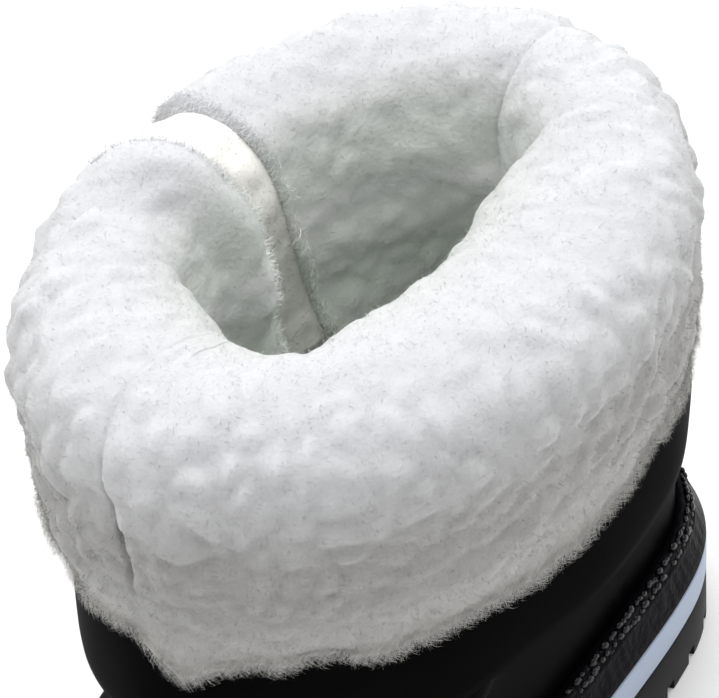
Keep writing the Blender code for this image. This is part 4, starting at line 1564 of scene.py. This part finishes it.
@dataclass
class Facings:
    """The two ivory facings of the zip, over the fold and down inside."""

    steps: int = 90
    across: int = 12
    ends: tuple[float, float] = (0.14, 2.92)
    thickness: float = 0.0016
    crown_power: int = 6
    puff: float = 0.0007
    wrinkle: float = 0.0009
    wrinkle_rate: float = 160.0
    pile: int = 5000
    pile_length: float = 0.0009
    pile_width: float = 0.00010
    pile_sunk: float = 0.0001

    def strip(self, name: str, low: float, high: float) -> tuple[bpy.types.Object, np.ndarray, np.ndarray]:
        """One facing: a strip in the plush's channel, with rounded edges.

        Args:
            name: the piece's name.
            low: its rear edge, as a distance from the line between the facings.
            high: its front edge.

        Returns:
            The piece, the places of its upper face and their normals.
        """
        alongs = np.linspace(*self.ends, self.steps)
        shares = np.linspace(0.0, 1.0, self.across + 1)
        along, share = np.meshgrid(alongs, shares, indexing="ij")
        angle = COLLAR.split_angle(along) + mix(low, high, share) * 2.0 / COLLAR.length
        face = COLLAR.face(angle, along)
        step = 0.01
        ahead = COLLAR.face(angle, np.minimum(along + step, 3.0))
        run = ahead - COLLAR.face(angle, np.maximum(along - step, 0.0))
        side = COLLAR.face(angle + step, along) - COLLAR.face(angle - step, along)
        normals = unit(np.cross(side, run))
        crown = np.sqrt(np.clip(1.0 - np.abs(2.0 * share - 1.0) ** self.crown_power, 0.0, 1.0))
        wrinkles = fractal(face.reshape(-1, 3) * self.wrinkle_rate, 0.9, 2.0, 3).reshape(share.shape)
        puff = (self.puff + self.wrinkle * wrinkles) * np.sin(share * math.pi)
        lift = COLLAR.curved_gap - COLLAR.channel_depth
        top = face + normals * (lift + self.thickness * crown + puff)[..., None]
        under = face + normals * lift
        item = skin(name, np.concatenate([top, under[:, ::-1]], axis=1))
        shape = bmesh.new()
        shape.from_mesh(item.data)
        bmesh.ops.holes_fill(shape, edges=[edge for edge in shape.edges if edge.is_boundary])
        bmesh.ops.recalc_face_normals(shape, faces=shape.faces)
        shape.to_mesh(item.data)
        shape.free()
        return item, top, normals

    def build(self, material: bpy.types.Material) -> None:
        """Makes both facings and their short pile.

        Args:
            material: the facings' material.
        """
        half = COLLAR.facing_split / 2.0
        edges = {
            "front": (0.4 * half, half + COLLAR.facing_width),
            "rear": (-half - COLLAR.rear_facing_width, -half),
        }
        for number, (side, (low, high)) in enumerate(edges.items()):
            node = f"zip_facing_{side}"
            item, top, normals = self.strip(f"{node}_cloth", low, high)
            place(item, material, node, node)
            self.grow_pile(top, normals, 300 + number, material, node)

    def grow_pile(
        self, top: np.ndarray, normals: np.ndarray, seed: int, material: bpy.types.Material, node: str
    ) -> None:
        """Grows a facing's short pile.

        Args:
            top: places of the facing's upper face.
            normals: their normals.
            seed: seed of the random source.
            material: the pile's material.
            node: the facing's node, which is also its slot.
        """
        draw = np.random.default_rng(seed)
        rows = draw.integers(0, top.shape[0] - 1, self.pile)
        columns = draw.integers(0, top.shape[1] - 1, self.pile)
        f, g = draw.random((2, self.pile, 1))
        low = mix(top[rows, columns], top[rows, columns + 1], f)
        high = mix(top[rows + 1, columns], top[rows + 1, columns + 1], f)
        facing = normals[rows, columns]
        roots = Roots(mix(low, high, g), facing, facing, np.ones((self.pile, 3)), rows)
        jitter = draw.normal(size=(len(PILE_STEPS), self.pile, 3))
        runs = tuple(unit(facing * off + shake * loose) for (off, loose), shake in zip(PILE_STEPS, jitter))
        length = self.pile_length * draw.uniform(0.5, 1.2, (self.pile, 1))
        width = np.full((self.pile, 1), self.pile_width)
        place(ribbons(f"{node}_pile", roots, runs, length, width, self.pile_sunk), material, node)


# Pieces of the foot


CREASE_ENDS = 0.3
SHOULDER_SHARE = 0.35
SHOULDER_PLACE = 1.9


@dataclass(frozen=True)
class Crease:
    """A soft trough, or a ridge with a negative depth, along a line of places in the boot's own frame."""

    start: tuple[float, float, float]
    end: tuple[float, float, float]
    depth: float
    width: float
    bow: float = 0.0

    def press(self, points: np.ndarray) -> np.ndarray:
        """How far the crease presses each place in.

        Args:
            points: places, points by three.

        Returns:
            A depth for each place.
        """
        start = np.array(self.start)
        run = np.array(self.end) - start
        share = np.clip((points - start) @ run / (run @ run), 0.0, 1.0)
        nearest = start + share[:, None] * run
        nearest[:, 2] += self.bow * np.sin(share * math.pi)
        distance = np.linalg.norm(points - nearest, axis=1)
        ends = smooth(share / CREASE_ENDS) * smooth((1.0 - share) / CREASE_ENDS)
        trough = np.exp(-((distance / self.width) ** 2))
        beside = distance - SHOULDER_PLACE * self.width
        shoulder = SHOULDER_SHARE * np.exp(-((beside / self.width) ** 2))
        return self.depth * (trough - shoulder) * ends


@dataclass
class Upper:
    """The black upper with its creases and seams, and the plush lining of the foot."""

    columns: int = 256
    fine: int = 5
    wall: float = 0.0028
    lining_gap: float = 0.0005
    lining_depth: float = 0.0042
    lining_columns: int = 192
    lining_fine: int = 3
    lining_overlap: float = 0.012
    lining_puff: float = 0.0012
    lining_puff_rate: float = 190.0
    lining_tint: Colour = (0.62, 0.65, 0.61)
    seam_depth: float = 0.0007
    seam_width: float = 0.0011
    seam_heights: tuple[float, float] = (0.040, 0.125)
    crease_low: float = 0.044
    crease_ramp: float = 0.008
    edge_ramp: float = 0.004
    side_seam_ends: tuple[float, float] = (0.010, 0.060)
    side_seam_low: float = 0.045
    side_seam_rise: float = 0.075
    inner_seam_ahead: float = 0.020
    creases: tuple[Crease, ...] = (
        Crease((0.118, -0.030, 0.096), (0.120, 0.026, 0.099), 0.0022, 0.0050, 0.004),
        Crease((0.140, -0.030, 0.084), (0.142, 0.026, 0.087), 0.0016, 0.0050, 0.003),
        Crease((0.165, -0.034, 0.068), (0.168, 0.030, 0.071), 0.0011, 0.0045, 0.006),
        Crease((0.100, 0.034, 0.108), (0.060, 0.044, 0.086), 0.0018, 0.0045),
        Crease((0.092, 0.036, 0.094), (0.040, 0.040, 0.074), 0.0014, 0.0040),
        Crease((0.030, 0.044, 0.112), (0.006, 0.040, 0.084), 0.0016, 0.0045),
        Crease((0.014, 0.043, 0.112), (-0.016, 0.034, 0.090), 0.0013, 0.0040),
        Crease((0.100, -0.040, 0.108), (0.062, -0.044, 0.088), 0.0018, 0.0045),
        Crease((0.088, -0.040, 0.092), (0.042, -0.040, 0.074), 0.0014, 0.0040),
        Crease((-0.022, 0.010, 0.112), (-0.026, -0.022, 0.094), 0.0012, 0.0040),
        Crease((-0.026, 0.020, 0.100), (-0.034, -0.014, 0.086), 0.0012, 0.0040),
    )

    def build(self, cloth: bpy.types.Material, plush: bpy.types.Material) -> None:
        """Makes the upper's shell and its lining.

        Args:
            cloth: material of the shell.
            plush: material of the lining.
        """
        outside = FOOT.rings(self.columns, self.fine)
        normals = grid_normals(outside) * -1.0
        flat = outside.reshape(-1, 3)
        press = sum(crease.press(flat) for crease in self.creases).reshape(outside.shape[:2])
        z = outside[..., 2]
        low = smooth((z - self.crease_low) / self.crease_ramp)
        press = press * (low * smooth((COLLAR.rim_height - z) / self.edge_ramp))
        seam_start, seam_end = self.seam_heights
        seams = self.seams(outside) * smooth((z - seam_start) / self.edge_ramp)
        press = press + seams * smooth((seam_end - z) / self.edge_ramp)
        shell = outside - normals * press[..., None]
        inner = outside[:: self.fine] - normals[:: self.fine] * self.wall
        upper = skin("upper_cloth", np.concatenate([shell, inner[::-1]]), rolled=True)
        place(upper, cloth, "upper", "upper")
        self.build_lining(plush)

    def seams(self, points: np.ndarray) -> np.ndarray:
        """How far the back seam and the two side seams of the vamp press the cloth in.

        Args:
            points: places, rows by columns by three.

        Returns:
            A depth for each place.
        """
        x, y, z = points[..., 0], points[..., 1], points[..., 2]
        back = bump(y - COLLAR.y, self.seam_width) * (x < 0.0)
        slant = x - mix(*self.side_seam_ends, smooth((z - self.side_seam_low) / self.side_seam_rise))
        outer = bump(slant, self.seam_width) * (y > 0.0)
        inner = bump(slant - self.inner_seam_ahead, self.seam_width) * (y < 0.0)
        return self.seam_depth * np.maximum(np.maximum(back, outer), inner)

    def build_lining(self, material: bpy.types.Material) -> None:
        """Makes the plush lining inside the foot, from the insole up into the cuff's plush.

        Args:
            material: the lining's material.
        """
        rings = FOOT.rings(self.lining_columns, self.lining_fine)
        normals = grid_normals(rings) * -1.0
        low = rings[..., 2].mean(axis=1)
        kept = low < COLLAR.lining_end + self.lining_overlap
        kept[: self.lining_fine - 1] = False
        rings = rings[kept]
        normals = normals[kept]
        behind = self.wall + self.lining_gap
        back = rings - normals * behind
        puffs = fractal(rings.reshape(-1, 3) * self.lining_puff_rate, 0.8, 2.1, 3).reshape(rings.shape[:2])
        face = rings - normals * (behind + self.lining_depth + puffs * self.lining_puff)[..., None]
        lining = skin("foot_lining_plush", np.concatenate([back, face[::-1]]), rolled=True)
        add_tint(lining, np.tile(self.lining_tint, (len(lining.data.vertices), 1)))
        place(lining, material, "cuff_fleece")


@dataclass
class ZipTeeth:
    """The row of teeth down the middle of the zip's tape."""

    sections: int = 9
    pitch: float = 0.0019
    size: tuple[float, float, float] = (0.0026, 0.0011, 0.0011)
    bevel: float = 0.22
    stagger: float = 0.0006

    def build(self, material: bpy.types.Material) -> None:
        """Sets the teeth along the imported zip's ridge, each a copy of one small rounded block.

        Args:
            material: the teeth's material.
        """
        mesh = frame["nodes"]["zip"].data
        corners = np.array([vertex.co for vertex in mesh.vertices])
        corners = np.unique(np.round(corners, 6), axis=0)
        axis = unit(corners[corners[:, 2].argmax()] - corners[corners[:, 2].argmin()])
        order = np.argsort(corners @ axis)
        groups = corners[order].reshape(self.sections, -1, 3)
        middles = groups.mean(axis=1)
        across = [group[group[:, 0].argmax()] - group[group[:, 0].argmin()] for group in groups]
        sides = unit(np.array(across))
        outs = unit(np.cross(np.gradient(middles, axis=0), sides))
        outs *= np.where(outs[:, 1:2] > 0.0, -1.0, 1.0)
        ridge = np.array([(group @ out).max() for group, out in zip(groups, outs)])
        crest = middles + outs * (ridge - np.sum(middles * outs, axis=1))[:, None]
        path = evenly(crest, int(np.linalg.norm(crest[-1] - crest[0]) / self.pitch))
        deselect()
        bpy.ops.mesh.primitive_cube_add(size=1.0)
        seed = bpy.context.object
        soft = seed.modifiers.new("soft", "BEVEL")
        soft.width = self.bevel
        soft.segments = 1
        apply_modifiers(seed)
        tooth = Model.taken_from(seed)
        teeth = []
        for number, (spot, up) in enumerate(zip(path, unit(np.gradient(path, axis=0)))):
            section = int(round(number / (len(path) - 1) * (self.sections - 1)))
            side = sides[section]
            shift = side * (self.stagger if number % 2 else -self.stagger)
            teeth.append(tooth.at(spot, (side, up, outs[section]), 1.0, self.size) + shift)
        item = tooth.copies("zip_teeth", teeth)
        place(item, material, "zip")


@dataclass
class SoleUnit:
    """Outsole, pale stripe, and the rubber cup with its knurled beads."""

    columns: int = 288
    cup_columns: int = 720
    fit_gap: float = 0.0003
    edge_round: float = 0.0010
    flare: float = 0.0002
    taper: float = 0.0046
    cup_wall: float = 0.0030
    cup_floor: float = 0.0028
    bead_height: float = 0.0024
    bead_proud: float = 0.0009
    lug_start: float = 0.030
    lug_pitch: float = 0.0125
    lug_gap: float = 0.0036
    lug_depth: float = 0.0042
    lug_sweep: float = 0.14
    centre_strip: float = 0.0120
    end_gap_reach: float = 0.016
    smooth_below: float = math.radians(35.0)
    rib_height: float = 0.00018
    rib_noise: float = 0.00008
    knurl_spacing: float = 0.0021
    knurl_depth: float = 0.50
    knurl_row_shift: float = 0.33
    knurl_path_points: int = 1200
    knurl_path_step: float = 0.001

    def rings(self, rows: list[tuple[float, np.ndarray]], columns: int) -> np.ndarray:
        """Rings from rows of an inset and heights."""
        edge = SOLE.outline(columns)
        return np.array([at_height(inset(edge, by), heights) for by, heights in rows])

    def build(
        self,
        sole: bpy.types.Material,
        stripe: bpy.types.Material,
        rubber: bpy.types.Material,
        knurl: bpy.types.Material,
    ) -> None:
        """Makes the three pieces.

        Args:
            sole: material of the outsole.
            stripe: material of the stripe.
            rubber: material of the cup.
            knurl: material of its knurls.
        """
        self.build_outsole(sole)
        self.build_stripe(stripe)
        self.build_cup(rubber, knurl)

    def build_outsole(self, material: bpy.types.Material) -> None:
        """Makes the outsole and cuts its gaps.

        Args:
            material: the outsole's material.
        """
        x = SOLE.outline(self.columns)[:, 0]
        low = SOLE.underside(x)
        rows = [
            (self.edge_round - self.flare, low),
            (-0.7 * self.flare, low + 0.35 * self.edge_round),
            (-self.flare, low + self.edge_round),
            (-0.6 * self.flare, low + 0.5 * SOLE.ball_outsole),
            (0.0, SOLE.outsole_top(x) - self.edge_round),
            (0.3 * self.edge_round, SOLE.outsole_top(x) - 0.3 * self.edge_round),
            (self.edge_round, SOLE.outsole_top(x)),
        ]
        outsole = skin("outsole_lugs", self.rings(rows, self.columns), Cap.BOTH)
        cutters = bpy.data.collections.new("tread_gaps")
        bpy.context.scene.collection.children.link(cutters)
        for number, (middle, size, turn) in enumerate(self.gaps()):
            deselect()
            bpy.ops.mesh.primitive_cube_add(size=1.0, location=middle, rotation=(0.0, 0.0, turn))
            bar = bpy.context.object
            bar.name = f"tread_gap_{number}"
            bar.scale = size
            for owner in bar.users_collection:
                owner.objects.unlink(bar)
            cutters.objects.link(bar)
        cut = outsole.modifiers.new("gaps", "BOOLEAN")
        cut.operation = "DIFFERENCE"
        cut.operand_type = "COLLECTION"
        cut.collection = cutters
        cut.solver = "EXACT"
        apply_modifiers(outsole)
        for bar in list(cutters.objects):
            bpy.data.objects.remove(bar)
        bpy.data.collections.remove(cutters)
        only(outsole)
        bpy.ops.object.shade_smooth_by_angle(angle=self.smooth_below)
        place(outsole, material, "outsole", "outsole")

    def gaps(self) -> list[tuple[tuple[float, float, float], tuple[float, float, float], float]]:
        """Middle, size and turn of each gap between lugs."""
        bars = []
        reach = 0.6 * SOLE.ball_width
        x = self.lug_start - SOLE.heel_reach
        while x < SOLE.length - SOLE.heel_reach - self.lug_start:
            if abs(SOLE.share(x) - SOLE.arch_middle) > 0.3 * SOLE.arch_span:
                for side in (1.0, -1.0):
                    y = side * (self.centre_strip + reach) / 2.0
                    middle = (x - self.lug_sweep * reach / 2.0, y, float(SOLE.toe_rise(x)))
                    size = (self.lug_gap, reach, 2.0 * self.lug_depth)
                    bars.append((middle, size, side * self.lug_sweep))
            x += self.lug_pitch
        tip = SOLE.length - SOLE.heel_reach
        toe = (tip - SOLE.heel_width / 2.0, -0.1 * SOLE.ball_width, float(SOLE.toe_rise(tip)))
        depth = 2.0 * self.lug_depth + SOLE.toe_spring / 3.0
        fans = (
            ((0.0, 0.0, 0.0), SOLE.heel_reach, (2.60, math.pi, 3.68)),
            (toe, SOLE.heel_width / 2.0, (-0.75, -0.25, 0.25, 0.75)),
        )
        for (mid_x, mid_y, mid_z), radius, turns in fans:
            for turn in turns:
                middle = (mid_x + radius * math.cos(turn), mid_y + radius * math.sin(turn), mid_z)
                bars.append((middle, (2.0 * self.end_gap_reach, self.lug_gap, depth), turn))
        return bars

    def build_stripe(self, material: bpy.types.Material) -> None:
        """Makes the pale stripe.

        Args:
            material: the stripe's material.
        """
        x = SOLE.outline(self.columns)[:, 0]
        low = SOLE.outsole_top(x) + self.fit_gap
        high = SOLE.stripe_top(x)
        rounding = 0.5 * self.edge_round
        rows = [
            (rounding, low),
            (0.3 * rounding, low + 0.3 * rounding),
            (0.0, low + rounding),
            (0.0, high - rounding),
            (0.3 * rounding, high - 0.3 * rounding),
            (rounding, high),
        ]
        stripe = skin("midsole_stripe_band", self.rings(rows, self.columns), Cap.BOTH)
        place(stripe, material, "midsole_stripe", "midsole_stripe")

    def build_cup(self, material: bpy.types.Material, knurl: bpy.types.Material) -> None:
        """Makes the rubber cup and the knurls on its two beads.

        Args:
            material: the cup's material.
            knurl: the knurls' material.
        """
        x = SOLE.outline(self.cup_columns)[:, 0]
        low = SOLE.stripe_top(x) + self.fit_gap
        high = SOLE.sidewall_top(x)
        bead = self.bead_height
        proud = 0.4 * self.bead_proud
        taper = self.taper
        ribs = self.ribs()
        rows = [
            (0.6 * self.edge_round, low),
            (0.1 * self.edge_round, mix(low, high, 0.08)),
            (0.22 * taper - 0.5 * ribs, mix(low, high, 0.22)),
            (0.38 * taper - ribs, mix(low, high, 0.4)),
            (0.55 * taper - ribs, high - 2.1 * bead),
            (0.66 * taper - 0.8 * proud, high - 1.8 * bead),
            (0.70 * taper - proud, high - 1.5 * bead),
            (0.76 * taper - 0.8 * proud, high - 1.25 * bead),
            (0.85 * taper, high - 1.0 * bead),
            (0.92 * taper - 0.8 * proud, high - 0.75 * bead),
            (0.95 * taper - proud, high - 0.5 * bead),
            (taper - 0.6 * proud, high - 0.2 * bead),
            (taper + 0.3 * self.cup_wall, high),
            (taper + self.cup_wall, high - 0.2 * bead),
            (taper + self.cup_wall, SOLE.stripe_top(x) + self.cup_floor),
        ]
        cup = skin("sidewall_cup", self.rings(rows, self.cup_columns), Cap.BOTH)
        place(cup, material, "sidewall", "sidewall")
        rows = (
            (taper + 0.12 * self.cup_wall, 0.20 * bead),
            (0.84 * taper, 1.05 * bead),
        )
        for number, (by, drop) in enumerate(rows):
            shift = self.knurl_row_shift * number
            self.build_knurls(f"sidewall_knurls_{number + 1}", by, drop, shift, knurl)

    def ribs(self) -> np.ndarray:
        """How proud the faint upright ribs of the cup's face are at each of its columns."""
        draw = np.random.default_rng(44)
        turns = np.arange(self.cup_columns) / self.cup_columns * 2.0 * math.pi
        uneven = 2.0 * np.sin(turns * 23.0)
        waves = np.sin(turns * 190.0 + uneven) * (0.6 + 0.4 * np.sin(turns * 31.0 + 1.0))
        return self.rib_height * waves + self.rib_noise * draw.normal(size=self.cup_columns)

    def build_knurls(
        self, name: str, by: float, drop: float, shift: float, material: bpy.types.Material
    ) -> None:
        """Sets one row of small rounded knurls, from one knurl that is copied.

        Args:
            name: the piece's name.
            by: inset of the row from the sole's edge.
            drop: how far the row lies below the cup's edge.
            shift: how far the row is moved along, as a share of the spacing.
            material: the knurls' material.
        """
        deselect()
        bpy.ops.mesh.primitive_uv_sphere_add(segments=10, ring_count=6, radius=1.0)
        knurl = Model.taken_from(bpy.context.object)
        edge = inset(SOLE.outline(self.knurl_path_points), by)
        closed = np.vstack([edge, edge[:1]])
        lengths = np.concatenate([[0.0], np.cumsum(np.linalg.norm(np.diff(closed, axis=0), axis=1))])
        count = int(lengths[-1] / self.knurl_spacing)
        draw = np.random.default_rng(40 + len(name) + int(100 * shift))
        at = (np.arange(count) + shift + draw.uniform(-0.3, 0.3, count)) / count * lengths[-1] % lengths[-1]
        spots = np.column_stack([np.interp(at, lengths, axis) for axis in closed.T])
        further = at + self.knurl_path_step
        ahead = np.column_stack([np.interp(further, lengths, axis) for axis in closed.T]) - spots
        knurls = []
        for (x, y), run in zip(spots, unit(ahead)):
            out = np.array([-run[1], run[0], 0.0])
            along = np.array([run[0], run[1], 0.0])
            up = unit(np.array([0.0, 0.0, 1.0]) + along * draw.uniform(0.2, 0.7))
            size = self.knurl_spacing * draw.uniform(0.55, 0.90)
            shares = (draw.uniform(0.7, 1.0), self.knurl_depth, 1.0)
            z = float(SOLE.sidewall_top(x)) - drop + draw.uniform(-0.45, 0.45) * self.bead_height
            knurls.append(knurl.at(np.array([x, y, z]), (along, out, up), size, shares))
        item = knurl.copies(name, knurls)
        only(item)
        bpy.ops.object.shade_smooth()
        place(item, material, "sidewall")


# Studio


@dataclass
class Studio:
    """Pale floor, soft light and the camera at the photo's angle."""

    camera_place: tuple[float, float, float] = (0.40066, 0.25883, 0.59087)
    forward: tuple[float, float, float] = (-0.56986, -0.42807, -0.70144)
    right: tuple[float, float, float] = (-0.53482, 0.84127, -0.07891)
    up: tuple[float, float, float] = (-0.62388, -0.33018, 0.70835)
    focal_pixels: float = 2851.142
    picture_width: float = 719.0
    centre_drop: float = 39.0
    sensor: float = 36.0
    ambient: float = 0.36
    top_light: float = 3.75
    top_angle: float = math.radians(85.0)
    top_turn: tuple[float, float, float] = (math.radians(4.0), math.radians(-6.0), 0.0)
    floor_size: float = 8.0
    near_clip: float = 0.01

    def build(self, material: bpy.types.Material) -> None:
        """Makes floor, lights and camera.

        Args:
            material: the floor's material.
        """
        deselect()
        bpy.ops.mesh.primitive_plane_add(size=self.floor_size, location=(0.0, 0.0, 0.0))
        floor = bpy.context.object
        floor.name = "floor"
        floor.data.materials.append(material)
        world = bpy.data.worlds.new("studio")
        world.use_nodes = True
        nodes = world.node_tree.nodes
        links = world.node_tree.links
        soft = nodes["Background"]
        soft.inputs[1].default_value = self.ambient
        seen = nodes.new("ShaderNodeBackground")
        seen.inputs[1].default_value = 1.0
        for backdrop in (soft, seen):
            backdrop.inputs[0].default_value = (1.0, 1.0, 1.0, 1.0)
        path = nodes.new("ShaderNodeLightPath")
        blend = nodes.new("ShaderNodeMixShader")
        links.new(path.outputs["Is Camera Ray"], blend.inputs[0])
        links.new(soft.outputs[0], blend.inputs[1])
        links.new(seen.outputs[0], blend.inputs[2])
        links.new(blend.outputs[0], nodes["World Output"].inputs[0])
        bpy.context.scene.world = world
        bpy.context.scene.view_settings.view_transform = "Standard"
        self.light()
        self.camera()

    def light(self) -> None:
        """Adds the wide soft light from above."""
        data = bpy.data.lights.new("soft_top_light", "SUN")
        data.energy = self.top_light
        data.angle = self.top_angle
        lamp = bpy.data.objects.new("soft_top_light", data)
        lamp.rotation_euler = self.top_turn
        bpy.context.scene.collection.objects.link(lamp)

    def camera(self) -> None:
        """Sets the camera where the photo was taken, aimed a little lower than the lens's own axis."""
        data = bpy.data.cameras.new("camera")
        data.sensor_fit = "HORIZONTAL"
        data.sensor_width = self.sensor
        data.lens = self.focal_pixels / self.picture_width * self.sensor
        data.clip_start = self.near_clip
        camera = bpy.data.objects.new("camera", data)
        forward = Vector(self.forward)
        up = Vector(self.up)
        right = Vector(self.right)
        tilt = math.atan2(self.centre_drop, self.focal_pixels)
        ahead = (forward * math.cos(tilt) - up * math.sin(tilt)).normalized()
        top = right.cross(ahead).normalized()
        turn = Matrix((right, top, -ahead)).transposed().to_4x4()
        turn.translation = Vector(self.camera_place)
        camera.matrix_world = turn
        bpy.context.scene.collection.objects.link(camera)
        bpy.context.scene.camera = camera


def dress_solid(node: str, material: bpy.types.Material) -> None:
    """Gives a CAD node that stays visible its material."""
    item = frame["nodes"][node]
    item.data.materials.clear()
    item.data.materials.append(material)
    LOG.info("%s: the solid keeps its shape", node)


def main() -> None:
    """Builds the boot's looks and the studio round it."""
    logging.basicConfig(level=logging.INFO, format="%(message)s")
    group = grain_group()
    Studio().build(FLOOR.material(group))
    cloth = CLOTH.material(group)
    materials = [finish.material(group) for finish in (SOLE_RUBBER, STRIPE, RUBBER, KNURL)]
    SoleUnit().build(*materials)
    plush = PLUSH.material(group)
    Upper().build(UPPER_CLOTH.material(group), plush)
    CuffBand().build(cloth)
    CuffPlush().build(plush, PLUSH_FIBRE.material(group))
    Facings().build(PILE.material(group))
    dress_solid("insole", FELT.material(group))
    dress_solid("zip", TAPE.material(group))
    ZipTeeth().build(TEETH.material(group))


if __name__ == "__main__":
    main()
